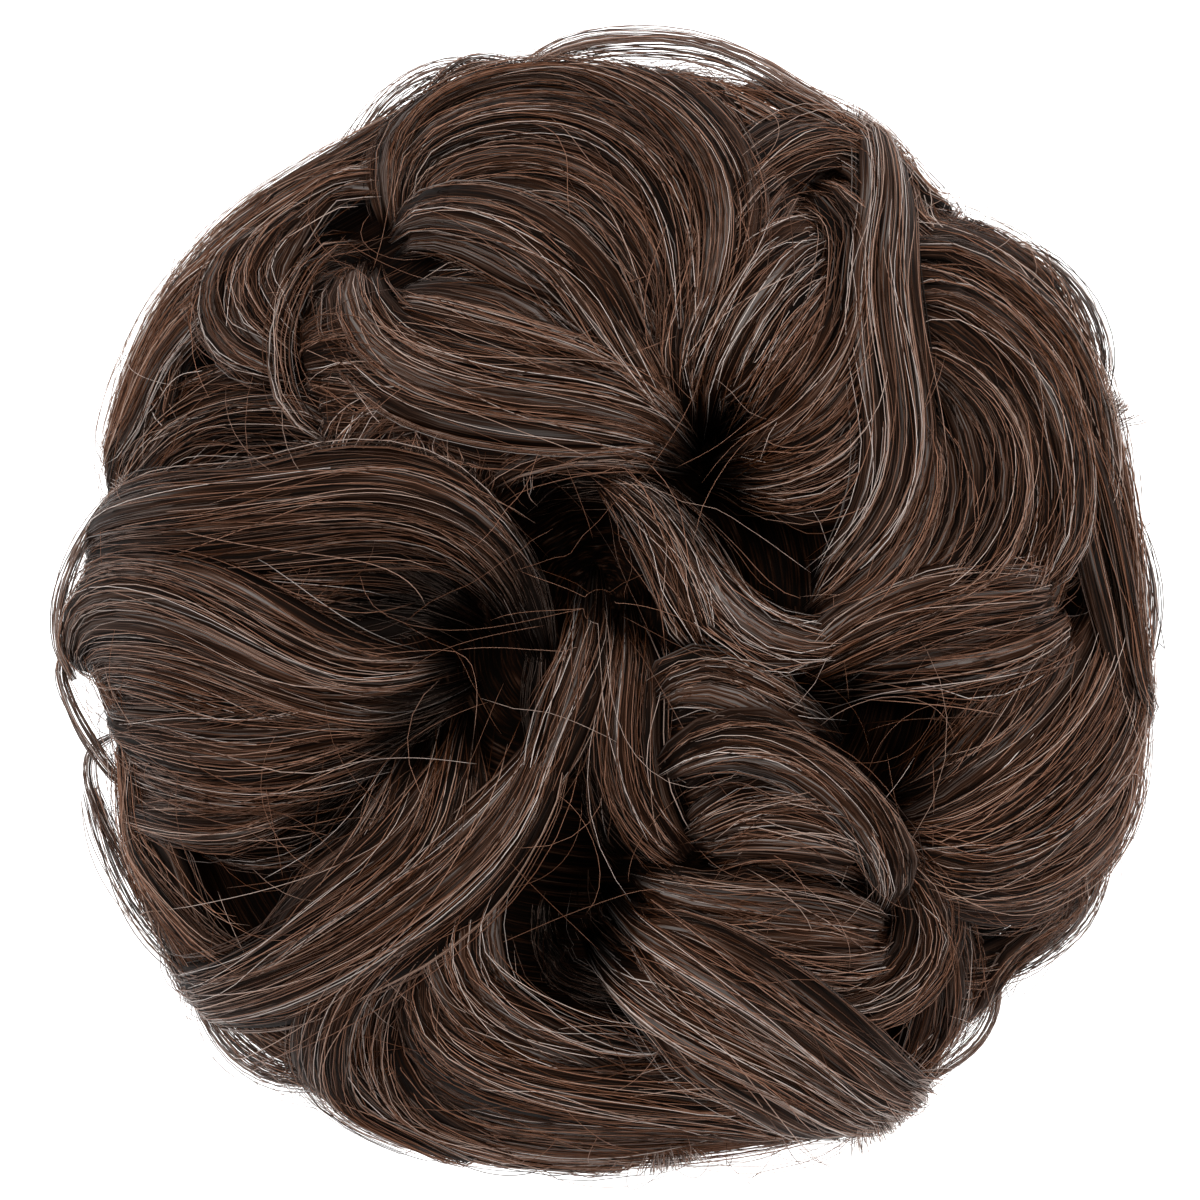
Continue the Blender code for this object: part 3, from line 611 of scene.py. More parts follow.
@dataclass(frozen=True)
class BunForm:
    """The surface that the locks lie on, with the CAD model's own heights."""

    rim_height: float = 24.0
    dome_rise: float = 34.0
    skin_inset: float = 1.6
    foot_clearance: float = 0.6
    underside_start: float = 0.55
    dome_power: float = 2.4
    dome_roundness: float = 0.54
    rim_limit: float = 0.985

    def outline(self, turn: np.ndarray) -> np.ndarray:
        """Gives the outline's radius at each angle in radians."""
        count = len(OUTLINE)
        place = (np.asarray(turn) / math.tau * count) % count
        index = np.floor(place).astype(int) % count
        part = place - np.floor(place)
        a, b, c, d = (OUTLINE[(index + shift) % count] for shift in (-1, 0, 1, 2))
        return b + 0.5 * part * (c - a + part * (2 * a - 5 * b + 4 * c - d + part * (3 * (b - c) + d - a)))

    def swell(self, x: np.ndarray, y: np.ndarray) -> np.ndarray:
        """Gives how far the curls and hollows lift the dome above each point in plan."""
        total = np.zeros_like(x)
        for px, py, rise, radius in SWELLS:
            dx = x - (px - PLAN_CENTRE[0]) * PLAN_UNIT
            dy = y - (PLAN_CENTRE[1] - py) * PLAN_UNIT
            total = total + rise * np.exp(-(dx * dx + dy * dy) / radius**2)
        return total

    def skin(
        self, turn: np.ndarray, arc: np.ndarray, inset: float | np.ndarray, swollen: bool = True
    ) -> np.ndarray:
        """Finds points on the bun's surface.

        Args:
            turn: Angles round +Z in radians.
            arc: 0 at the top, 1 at the rim, 2 below the middle.
            inset: How far inside the full outline the surface lies.
            swollen: True with the curls and hollows, False for the plain dome that bridges them.

        Returns:
            Points, with x, y and z in the last axis.
        """
        reach = np.sin(arc * math.pi / 2)
        radius = (self.outline(turn) - inset) * reach
        x = radius * np.cos(turn)
        y = radius * np.sin(turn)
        level = np.clip(np.abs(reach), 0.0, 1.0)
        dome = (1 - level**self.dome_power) ** self.dome_roundness
        swell = self.swell(x, y) if swollen else 0.0
        top = self.rim_height + (self.dome_rise - inset + swell) * dome
        below = np.clip((reach - self.underside_start) / (1 - self.underside_start), 0.0, 1.0)
        foot = self.foot_clearance + inset
        base = foot + (self.rim_height - foot) * (1 - np.sqrt(1 - below * below))
        return np.stack((x, y, np.where(arc <= 1, top, base)), axis=-1)

    def normal(self, turn: np.ndarray, arc: np.ndarray, swollen: bool = True) -> np.ndarray:
        """Gives the outward direction of the surface at each point."""
        step = 0.02
        low_arc, high_arc, low_turn, high_turn = (
            self.skin(turn + aside, arc + ahead, self.skin_inset, swollen)
            for aside, ahead in ((0.0, -step), (0.0, step), (-step, 0.0), (step, 0.0))
        )
        return unit(np.cross(high_arc - low_arc, high_turn - low_turn))

    def on_plan(self, px: np.ndarray, py: np.ndarray) -> tuple[np.ndarray, np.ndarray]:
        """Turns pixels of the photograph into millimetres along X and Y."""
        return (px - PLAN_CENTRE[0]) * PLAN_UNIT, (PLAN_CENTRE[1] - py) * PLAN_UNIT

    def from_plan(self, px: np.ndarray, py: np.ndarray) -> tuple[np.ndarray, np.ndarray]:
        """Turns pixels of the photograph into turns and arcs on the upper surface."""
        east, north = self.on_plan(px, py)
        turn = np.arctan2(north, east)
        reach = np.hypot(east, north) / (self.outline(turn) - self.skin_inset)
        return turn, np.arcsin(np.minimum(self.rim_limit, reach)) / (math.pi / 2)


FORM = BunForm()


def spline(points: np.ndarray, count: int) -> np.ndarray:
    """Runs a smooth curve through the given points.

    Args:
        points: The points, one to a row.
        count: How many points to give back.

    Returns:
        Points at even steps of the curve's own parameter, one to a row.
    """
    first = points[:1] * 2 - points[1:2]
    last = points[-1:] * 2 - points[-2:-1]
    held = np.concatenate((first, points, last))
    place = np.linspace(0.0, len(points) - 1 - 1e-6, count)
    index = place.astype(int)
    t = (place - index)[:, None]
    a, b, c, d = (held[index + shift] for shift in range(4))
    return 0.5 * (
        2 * b + (c - a) * t + (2 * a - 5 * b + 4 * c - d) * t**2 + (3 * b - a - 3 * c + d) * t**3
    )


@dataclass
class Course:
    """The course of one lock: its middle line, which way is out and across, and its half width."""

    name: str
    centre: np.ndarray
    outward: np.ndarray
    half: np.ndarray
    tone: Tone
    seed: int
    thickness: float = 0.5
    across: np.ndarray = field(init=False)
    length: float = field(init=False)
    clumps: np.ndarray = field(init=False)
    clump_tones: np.ndarray = field(init=False)

    def __post_init__(self) -> None:
        """Works out the directions, the length and the clumps that the lock is combed into."""
        tangent = unit(np.gradient(self.centre, axis=0))
        self.across = unit(np.cross(tangent, self.outward))
        self.outward = unit(np.cross(self.across, tangent))
        self.length = float(np.linalg.norm(np.diff(self.centre, axis=0), axis=1).sum())
        rng = np.random.default_rng(self.seed)
        count = max(4, int(round(self.half.max() * 3.0)))
        spread = (np.arange(count) + rng.uniform(0.2, 0.8, count)) / count
        self.clumps = math.pi * (1.08 * spread - 0.04)
        kinds = rng.choice(4, count, p=self.tone.value)
        self.clump_tones = FIBRE_PLACES[kinds]

    def at(self, t: np.ndarray) -> tuple[np.ndarray, np.ndarray, np.ndarray, np.ndarray]:
        """Reads the middle, outward, across and half width at places from 0, root, to 1, tip."""
        steps = np.linspace(0.0, 1.0, len(self.centre))
        read = [
            np.stack([np.interp(t, steps, rows[:, axis]) for axis in range(3)], axis=-1)
            for rows in (self.centre, self.outward, self.across)
        ]
        return read[0], read[1], read[2], np.interp(t, steps, self.half)

    def around(self, t: np.ndarray, angle: np.ndarray, reach: np.ndarray) -> np.ndarray:
        """Finds points on or near the lock's flattened round section.

        Args:
            t: Places along the lock.
            angle: Angles in the section, from 0 at one edge over the top to pi at the other.
            reach: 1 on the section's own outline.

        Returns:
            Points, with x, y and z in the last axis.
        """
        centre, outward, across, half = self.at(t)
        side = (half * reach * np.cos(angle))[..., None]
        rise = (half * self.thickness * reach * np.sin(angle))[..., None]
        return centre + across * side + outward * rise


@dataclass(frozen=True)
class CourseMaker:
    """Lays lock courses on the bun's surface."""

    stations: int = 48
    end_sink: float = 4.5
    end_share: float = 0.16
    end_width: float = 0.25
    smooth_passes: int = 12
    rim_arc: float = 0.80
    wrap_arc: float = 0.22

    def lay(
        self, name: str, turn: np.ndarray, arc: np.ndarray, row: LockRow | RingRow, seed: int
    ) -> Course:
        """Lays one lock through stops on the surface.

        Args:
            name: The lock's name.
            turn: The stops' angles in radians.
            arc: The stops' arcs.
            row: The table row with the width, lift and tone.
            seed: The lock's own seed.

        Returns:
            The lock's course, which dips below the surface at both ends.
        """
        skin = FORM.skin(turn, arc, FORM.skin_inset)
        normal = FORM.normal(turn, arc, False)
        t = np.linspace(0.0, 1.0, self.stations)
        travelled = np.cumsum(np.linalg.norm(np.diff(skin, axis=0, prepend=skin[:1]), axis=1))
        centre, outward = (
            np.stack([np.interp(t * travelled[-1], travelled, rows[:, axis]) for axis in range(3)], axis=-1)
            for rows in (skin, normal)
        )
        from_end = np.minimum(1.0, np.minimum(t, 1 - t) / self.end_share)
        sunk = self.end_sink * (1 - from_end) ** 2
        full = self.end_width + (1 - self.end_width) * (1 - np.abs(2 * t - 1) ** 3)
        for _ in range(self.smooth_passes):
            centre[1:-1] = (centre[:-2] + 2 * centre[1:-1] + centre[2:]) / 4
            outward[1:-1] = (outward[:-2] + 2 * outward[1:-1] + outward[2:]) / 4
        outward = unit(outward)
        centre = centre + outward * (row.lift - sunk)[:, None]
        return Course(name, centre, outward, row.width / 2 * full, row.tone, seed)

    def crown(self, row: LockRow, seed: int, shift: float = 0.0, sink: float = 0.0) -> Course:
        """Lays a lock of the crown along its charted path, or beside and below it.

        Args:
            row: The lock's row.
            seed: The lock's own seed.
            shift: How far to the side it lies at its middle; its ends draw back to the path.
            sink: How much lower than charted it lies.

        Returns:
            The lock's course.
        """
        path = spline(np.array(row.path, dtype=float), self.stations)
        t = np.linspace(0.0, 1.0, len(path))
        tangent = unit(np.gradient(path, axis=0))
        aside = np.stack((-tangent[:, 1], tangent[:, 0]), axis=-1)
        fan = 0.3 + 0.7 * np.sin(math.pi * np.clip(0.05 + 0.9 * t, 0.0, 1.0))
        moved = path + aside * (shift / PLAN_UNIT * fan)[:, None]
        # a lock beside the charted one draws in where it would fill a hollow
        room = np.clip(1 + FORM.swell(*FORM.on_plan(moved[:, 0], moved[:, 1])) / 4, 0.1, 1.0)
        path = path + (moved - path) * room[:, None]
        turn, arc = FORM.from_plan(path[:, 0], path[:, 1])
        turn, arc = self.wrapped(np.unwrap(turn), arc)
        turn, arc = (rows[::-1] for rows in self.wrapped(turn[::-1], arc[::-1]))
        return self.lay(row.name, turn, arc, replace(row, lift=row.lift - sink), seed)

    def wrapped(self, turn: np.ndarray, arc: np.ndarray) -> tuple[np.ndarray, np.ndarray]:
        """Carries a lock that ends near the rim on over it and down the side."""
        if arc[-1] < self.rim_arc:
            return turn, arc
        drift = float(np.clip(turn[-1] - turn[-7], -0.10, 0.10))
        steps = np.linspace(0.0, 1.0, 9)[1:]
        return (
            np.concatenate((turn, turn[-1] + drift * steps)),
            np.concatenate((arc, arc[-1] + self.wrap_arc * steps)),
        )

    def ring(self, row: RingRow, index: int, seed: int) -> Course:
        """Lays one lock of a ring: it sweeps round and down the side in an S of its own."""
        rng = np.random.default_rng(seed)
        t = np.linspace(0.0, 1.0, self.stations)
        start = math.radians(row.first_turn + 360 / row.count * index + rng.uniform(-4.0, 4.0))
        against = rng.choice((1.0, 1.0, -1.0))
        turn = start + math.radians(row.sweep * against * rng.uniform(0.6, 1.1)) * t
        arc = row.arc_start + (row.arc_end - row.arc_start) * t
        arc = arc + row.wave * rng.uniform(0.8, 1.6) * np.sin(math.tau * (t + index % 3 / 3))
        width = row.width * rng.uniform(0.7, 1.15)
        lift = row.lift + rng.uniform(-1.4, 2.4)
        made = replace(row, width=width, lift=lift)
        return self.lay(f"{row.name}_{index}", turn, arc, made, seed)


def linear(code: str) -> tuple[float, float, float, float]:
    """Turns an sRGB hex code into a linear colour."""
    parts = [int(code[start : start + 2], 16) / 255 for start in (1, 3, 5)]
    made = [part / 12.92 if part <= 0.04045 else ((part + 0.055) / 1.055) ** 2.4 for part in parts]
    return made[0], made[1], made[2], 1.0


def add_node(
    material: bpy.types.Material, kind: str, settings: dict, links: dict | None = None
) -> bpy.types.Node:
    """Adds one node to a material.

    Args:
        material: The material that gets the node.
        kind: The node's type name.
        settings: Values by attribute name, or by socket name where the node has no such attribute.
        links: Sockets that feed this node's sockets, by this node's socket name.

    Returns:
        The new node.
    """
    node = material.node_tree.nodes.new(kind)
    for key, value in settings.items():
        if isinstance(key, str) and hasattr(node, key):
            setattr(node, key, value)
        else:
            node.inputs[key].default_value = value
    for key, source in (links or {}).items():
        material.node_tree.links.new(source, node.inputs[key])
    return node


def set_ramp(node: bpy.types.Node, stops: tuple) -> None:
    """Gives a colour ramp its stops, each a place from 0 to 1 and an sRGB hex code."""
    ramp = node.color_ramp
    while len(ramp.elements) < len(stops):
        ramp.elements.new(0.5)
    for element, (place, code) in zip(ramp.elements, stops):
        element.position = place
        element.color = linear(code)


@dataclass(frozen=True)
class FibreFinish:
    """Curled synthetic hair fibre, extruded and heat-set: glossy, with a highlight across each lock.

    The colour comes from each strand's own place on the ramp, so a lock is a mix of dark chocolate,
    chestnut, auburn and cool ash fibre, as the dyed tow is. The near-black end of the ramp is partly
    painted shade and the ash end partly a painted grey sheen, and the colour is darkened further by
    each strand's painted shade.
    """

    name: str
    ramp: tuple
    roughness_low: float
    roughness_high: float
    specular: float
    streaked: bool

    def build(self) -> bpy.types.Material:
        """Makes the material.

        Returns:
            A material that reads the fibre attribute, and the lock_mm map where it is streaked.
        """
        material = bpy.data.materials.new(self.name)
        material.use_nodes = True
        shader = material.node_tree.nodes["Principled BSDF"]
        # modacrylic fibre has an index of refraction of about 1.53
        shader.inputs["IOR"].default_value = 1.53
        shader.inputs["Specular IOR Level"].default_value = self.specular
        # the dye in the fibre warms its highlight a little
        shader.inputs["Specular Tint"].default_value = linear("#ffdfcd")
        links = material.node_tree.links
        fibre = add_node(material, "ShaderNodeAttribute", {"attribute_name": "fibre"})
        parts = add_node(
            material, "ShaderNodeSeparateColor", {}, {"Color": fibre.outputs["Color"]}
        )
        place = parts.outputs["Red"]
        if self.streaked:
            place = self.add_streaks(material, shader, place)
        ramp = add_node(material, "ShaderNodeValToRGB", {}, {"Fac": place})
        set_ramp(ramp, self.ramp)
        # green holds how open to the light a strand lies, so the hollows of the bun go dark
        shaded = add_node(
            material,
            "ShaderNodeMix",
            {"data_type": "RGBA", "blend_type": "MULTIPLY", 0: 1.0},
            {6: ramp.outputs["Color"], 7: parts.outputs["Green"]},
        )
        links.new(shaded.outputs[2], shader.inputs["Base Color"])
        rough = add_node(
            material,
            "ShaderNodeMapRange",
            {"To Min": self.roughness_low, "To Max": self.roughness_high},
            {"Value": parts.outputs["Blue"]},
        )
        links.new(rough.outputs["Result"], shader.inputs["Roughness"])
        return material

    def add_streaks(
        self, material: bpy.types.Material, shader: bpy.types.Node, place: bpy.types.NodeSocket
    ) -> bpy.types.NodeSocket:
        """Draws fine strands along a lock's body, in colour and in relief. The colour is partly each
        strand's own tone and partly painted shade, near black in the grooves between them.

        Args:
            material: The material that gets the streaks.
            shader: Its Principled shader.
            place: The body's own place on the colour ramp.

        Returns:
            The streaked place on the colour ramp.
        """
        # The map is in metres, across then along. Real fibre is 0.07 mm thick, too fine to show, so
        # the streaks are about 0.3 mm wide, and each runs on for about 24 mm
        surface = add_node(material, "ShaderNodeUVMap", {"uv_map": "lock_mm"})
        fine, broad = (
            add_node(
                material,
                "ShaderNodeTexNoise",
                {"Scale": 1.0, "Detail": 2.0, "Roughness": 0.6},
                {
                    "Vector": add_node(
                        material,
                        "ShaderNodeMapping",
                        {"Scale": (1 / (width * MM), 1 / (length * MM), 1.0)},
                        {"Vector": surface.outputs["UV"]},
                    ).outputs["Vector"]
                },
            ).outputs["Fac"]
            for width, length in ((0.3, 24.0), (1.1, 40.0))
        )
        spread = add_node(
            material,
            "ShaderNodeMapRange",
            {"From Min": 0.3, "From Max": 0.7, "To Min": -0.6, "To Max": 0.6},
            {"Value": fine},
        )
        drift = add_node(
            material,
            "ShaderNodeMapRange",
            {"From Min": 0.3, "From Max": 0.7, "To Min": -0.22, "To Max": 0.22},
            {"Value": broad},
        )
        both = add_node(
            material,
            "ShaderNodeMath",
            {"operation": "ADD"},
            {0: drift.outputs["Result"], 1: spread.outputs["Result"]},
        )
        added = add_node(
            material,
            "ShaderNodeMath",
            {"operation": "ADD", "use_clamp": True},
            {0: place, 1: both.outputs["Value"]},
        )
        bump = add_node(
            material,
            "ShaderNodeBump",
            {"Strength": 0.8, "Distance": 0.15 * MM},
            {"Height": fine},
        )
        material.node_tree.links.new(bump.outputs["Normal"], shader.inputs["Normal"])
        return added.outputs["Value"]


# Black for the gaps between strands, which is painted shade, and dark chocolate, through chestnut and
# auburn, to a cool ash brown that is partly a painted grey sheen
FIBRE_RAMP = (
    (0.0, "#050201"),
    (0.24, "#231006"),
    (0.45, "#462612"),
    (0.62, "#614232"),
    (0.75, "#805b48"),
    (0.87, "#91796c"),
    (1.0, "#b6aaa4"),
)

STRAND_FINISH = FibreFinish("glossy_modacrylic_strands", FIBRE_RAMP, 0.25, 0.36, 0.34, False)
UNDER_FINISH = FibreFinish("shaded_modacrylic_strands", FIBRE_RAMP, 0.45, 0.55, 0.08, False)
LOCK_FINISH = FibreFinish("combed_modacrylic_locks", FIBRE_RAMP, 0.55, 0.65, 0.05, True)
HEART_FINISH = FibreFinish("matted_modacrylic_heart", FIBRE_RAMP, 0.7, 0.8, 0.03, True)


@dataclass(frozen=True)
class ElasticFinish:
    """Knitted polyester elastic, ruched when it is slack: matt, dark brown, with rows of knit."""

    name: str = "knitted_polyester_elastic"

    def build(self) -> bpy.types.Material:
        """Makes the material, whose knit follows the ring's own map in metres."""
        material = bpy.data.materials.new(self.name)
        material.use_nodes = True
        shader = material.node_tree.nodes["Principled BSDF"]
        shader.inputs["Roughness"].default_value = 0.82
        # a faint nap of loose filament catches light at the edges
        shader.inputs["Sheen Weight"].default_value = 0.25
        shader.inputs["Sheen Roughness"].default_value = 0.5
        surface = add_node(material, "ShaderNodeUVMap", {"uv_map": "lock_mm"})
        # knitted elastic has wales about 0.9 mm apart, and a stitch every 0.7 mm along them
        scaled = add_node(
            material,
            "ShaderNodeMapping",
            {"Scale": (1 / (0.7 * MM), 1 / (0.9 * MM), 1.0)},
            {"Vector": surface.outputs["UV"]},
        )
        stitches = add_node(
            material,
            "ShaderNodeTexVoronoi",
            {"Scale": 1.0, "Randomness": 0.35},
            {"Vector": scaled.outputs["Vector"]},
        )
        # painted shade: the knit is darker where it dips between the stitches, as the bump below has it
        ramp = add_node(
            material, "ShaderNodeValToRGB", {}, {"Fac": stitches.outputs["Distance"]}
        )
        set_ramp(ramp, ((0.0, "#3a2a23"), (0.6, "#2a1d18"), (1.0, "#150e0b")))
        bump = add_node(
            material,
            "ShaderNodeBump",
            {"Strength": 0.8, "Distance": 0.25 * MM, "invert": True},
            {"Height": stitches.outputs["Distance"]},
        )
        links = material.node_tree.links
        links.new(ramp.outputs["Color"], shader.inputs["Base Color"])
        links.new(bump.outputs["Normal"], shader.inputs["Normal"])
        return material


def shade_of(points: np.ndarray) -> np.ndarray:
    """Says how open to the light points of the crown lie, from 1 in the open to 0.1 in a hollow."""
    x, y = points[..., 0], points[..., 1]
    turn = np.arctan2(y, x)
    reach = np.clip(np.hypot(x, y) / (FORM.outline(turn) - FORM.skin_inset), 0.0, 1.0)
    dome = (1 - reach**FORM.dome_power) ** FORM.dome_roundness
    depth = FORM.rim_height + FORM.dome_rise * dome + 2.0 - points[..., 2]
    part = np.clip(depth / 7.0, 0.0, 1.0) * (1 - np.clip((reach - 0.8) / 0.2, 0.0, 1.0))
    return 1.0 - 0.9 * part * part * (3 - 2 * part)


@dataclass
class StrandBatch:
    """Strands gathered up to become one joined mesh of closed three-sided tubes."""

    name: str
    paths: list[np.ndarray] = field(default_factory=list)
    outs: list[np.ndarray] = field(default_factory=list)
    radii: list[np.ndarray] = field(default_factory=list)
    fibres: list[np.ndarray] = field(default_factory=list)

    def add(
        self, path: np.ndarray, out: np.ndarray, radius: np.ndarray, tone: np.ndarray, shade: np.ndarray
    ) -> None:
        """Adds a block of strands that have equally many stations.

        Args:
            path: The strands' middle lines: strand, station, then x, y and z.
            out: Outward directions, in the same shape.
            radius: Each strand's radius.
            tone: Each strand's place on the colour ramp.
            shade: How open each station is to the light.
        """
        path[..., 2] = np.maximum(path[..., 2], FOOT_HEIGHT)
        strands, stations = path.shape[:2]
        t = np.linspace(0.0, 1.0, stations)[None, :]
        taper = np.clip(np.minimum(t, 1 - t) * 9.0 + 0.35, 0.0, 1.0)
        self.paths.append(path)
        self.outs.append(out)
        self.radii.append(radius[:, None] * taper)
        along = np.broadcast_to(t, (strands, stations))
        toned = np.clip(np.broadcast_to(tone[:, None], (strands, stations)) + 0.06 * along**3, 0.0, 1.0)
        self.fibres.append(np.stack((toned, shade, along, np.ones_like(along)), axis=-1))

    def count(self) -> int:
        """Counts the strands."""
        return sum(len(path) for path in self.paths)

    def strand_maps(self, stations: int) -> tuple[np.ndarray, np.ndarray]:
        """Gives the corners' places on one strand's own map, for its sides and for its two ends."""
        u = np.arange(4)[None, :] / 3
        v = np.linspace(0.0, 1.0, stations)[:, None]
        low_u, high_u = u[:, :-1] + 0 * v[:-1], u[:, 1:] + 0 * v[:-1]
        low_v, high_v = v[:-1] + 0 * u[:, :-1], v[1:] + 0 * u[:, :-1]
        sides = np.stack(
            (
                np.stack((low_u, low_u, high_u, high_u), axis=-1),
                np.stack((low_v, high_v, high_v, low_v), axis=-1),
            ),
            axis=-1,
        )
        root = (0.1, -0.05), (0.5, -0.02), (0.9, -0.05)
        tip = (0.1, 1.05), (0.5, 1.02), (0.9, 1.05)
        return sides, np.array((root, tip))

    def build(self, material: bpy.types.Material) -> bpy.types.Object:
        """Makes the joined mesh.

        Args:
            material: The strands' material.

        Returns:
            The finished piece, on the bun's body.
        """
        verts, loops, starts, maps, fibres = [], [], [], [], []
        cells = math.ceil(math.sqrt(self.count()))
        first_vert = 0
        first_loop = 0
        first_cell = 0
        angles = np.radians(np.array((90.0, 210.0, 330.0)))
        for path, out, radius, fibre in zip(self.paths, self.outs, self.radii, self.fibres):
            strands, stations = path.shape[:2]
            tangent = unit(np.gradient(path, axis=1))
            across = unit(np.cross(tangent, out))
            up = np.cross(across, tangent)
            ring = (
                across[:, :, None, :] * np.cos(angles)[None, None, :, None]
                + up[:, :, None, :] * np.sin(angles)[None, None, :, None]
            )
            verts.append((path[:, :, None, :] + ring * radius[:, :, None, None]).reshape(-1, 3))
            fibres.append(np.repeat(fibre[:, :, None, :], 3, axis=2).reshape(-1, 4))
            grid = np.arange(strands * stations * 3).reshape(strands, stations, 3) + first_vert
            after = np.roll(grid, -1, axis=2)
            quads = np.stack((grid[:, :-1], grid[:, 1:], after[:, 1:], after[:, :-1]), axis=-1)
            caps = np.stack((grid[:, 0], grid[:, -1, ::-1]), axis=1)
            cell = np.arange(strands) + first_cell
            corner = np.stack((cell % cells, cell // cells), axis=-1) / cells
            placed = [
                (corner[:, None, :] + (0.1 + 0.8 * one.reshape(1, -1, 2)) / cells).reshape(-1, 2)
                for one in self.strand_maps(stations)
            ]
            maps.extend(placed)
            loops.extend((quads.reshape(-1), caps.reshape(-1)))
            quad_count = strands * (stations - 1) * 3
            starts.append(first_loop + 4 * np.arange(quad_count))
            starts.append(first_loop + 4 * quad_count + 3 * np.arange(strands * 2))
            first_vert += strands * stations * 3
            first_loop += 4 * quad_count + 6 * strands
            first_cell += strands
        mesh = bpy.data.meshes.new(self.name)
        points = np.concatenate(verts) * MM
        corners = np.concatenate(loops)
        mesh.vertices.add(len(points))
        mesh.vertices.foreach_set("co", points.ravel())
        mesh.loops.add(len(corners))
        mesh.loops.foreach_set("vertex_index", corners.astype(np.int32))
        face_starts = np.concatenate(starts)
        mesh.polygons.add(len(face_starts))
        mesh.polygons.foreach_set("loop_start", face_starts.astype(np.int32))
        mesh.update(calc_edges=True)
        bake_map = mesh.uv_layers.new(name="OFBake")
        bake_map.data.foreach_set("uv", np.concatenate(maps).ravel())
        colours = mesh.attributes.new("fibre", "FLOAT_COLOR", "POINT")
        colours.data.foreach_set("color", np.concatenate(fibres).ravel())
        mesh.shade_smooth()
        return finish_piece(self.name, mesh, material, HAIR_NODE)


def finish_piece(
    name: str, mesh: bpy.types.Mesh, material: bpy.types.Material, node: str
) -> bpy.types.Object:
    """Makes a piece of a mesh, dresses it and puts it on the bun's body.

    Args:
        name: The piece's name.
        mesh: Its mesh, in metres, in the CAD model's frame.
        material: Its material.
        node: The CAD node that it stands for.

    Returns:
        The piece.
    """
    mesh.materials.append(material)
    piece = bpy.data.objects.new(name, mesh)
    bpy.context.scene.collection.objects.link(piece)
    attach(piece, BODY)
    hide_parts(node)
    mesh.calc_loop_triangles()
    LOG.info("%s: %d triangles", name, len(mesh.loop_triangles))
    return piece


def charted(
    start: tuple[float, float], side: tuple[float, float], u: float, v: float
) -> tuple[float, float]:
    """Maps a grid's corner into a box that starts at one place and has two sides."""
    return start[0] + side[0] * u, start[1] + side[1] * v


class GridSheet:
    """Closed surfaces drawn as grids, u round them and v along them, and joined into one mesh."""

    def __init__(self, name: str, maps: tuple[str, ...], has_fibres: bool) -> None:
        """Starts with nothing drawn, and with the layers that the maps and the fibre values need."""
        self.name = name
        self.mesh = bmesh.new()
        self.maps = [self.mesh.loops.layers.uv.new(each) for each in maps]
        self.fibre = self.mesh.verts.layers.float_color.new("fibre") if has_fibres else None

    def draw(self, around: int, along: int, shape: Callable, charts: tuple[Callable, ...]) -> None:
        """Draws one grid.

        Args:
            around: How many faces go round it.
            along: How many faces go along it.
            shape: Gives the points in millimetres, and their fibre values, from u and v.
            charts: Gives a corner's place on each map from its u and v, in the maps' order.
        """
        made = bmesh.ops.create_grid(
            self.mesh, x_segments=around, y_segments=along, size=1.0, calc_uvs=False
        )
        verts = made["verts"]
        place = np.array([vert.co[:2] for vert in verts]) / 2 + 0.5
        points, fibres = shape(place[:, 0], place[:, 1])
        where = {vert: tuple(spot) for vert, spot in zip(verts, place)}
        for face in {face for vert in verts for face in vert.link_faces}:
            face.smooth = True
            for loop in face.loops:
                for layer, chart in zip(self.maps, charts):
                    loop[layer].uv = chart(*where[loop.vert])
        for vert, point, fibre in zip(verts, points, fibres):
            vert.co = point * MM
            if self.fibre:
                vert[self.fibre] = fibre

    def finish(self, material: bpy.types.Material, slot: str, node: str) -> bpy.types.Object:
        """Welds the seams and makes the piece."""
        bmesh.ops.remove_doubles(self.mesh, verts=self.mesh.verts, dist=0.001 * MM)
        bmesh.ops.recalc_face_normals(self.mesh, faces=self.mesh.faces)
        data = bpy.data.meshes.new(self.name)
        self.mesh.to_mesh(data)
        self.mesh.free()
        return finish_piece(self.name, data, material, node)


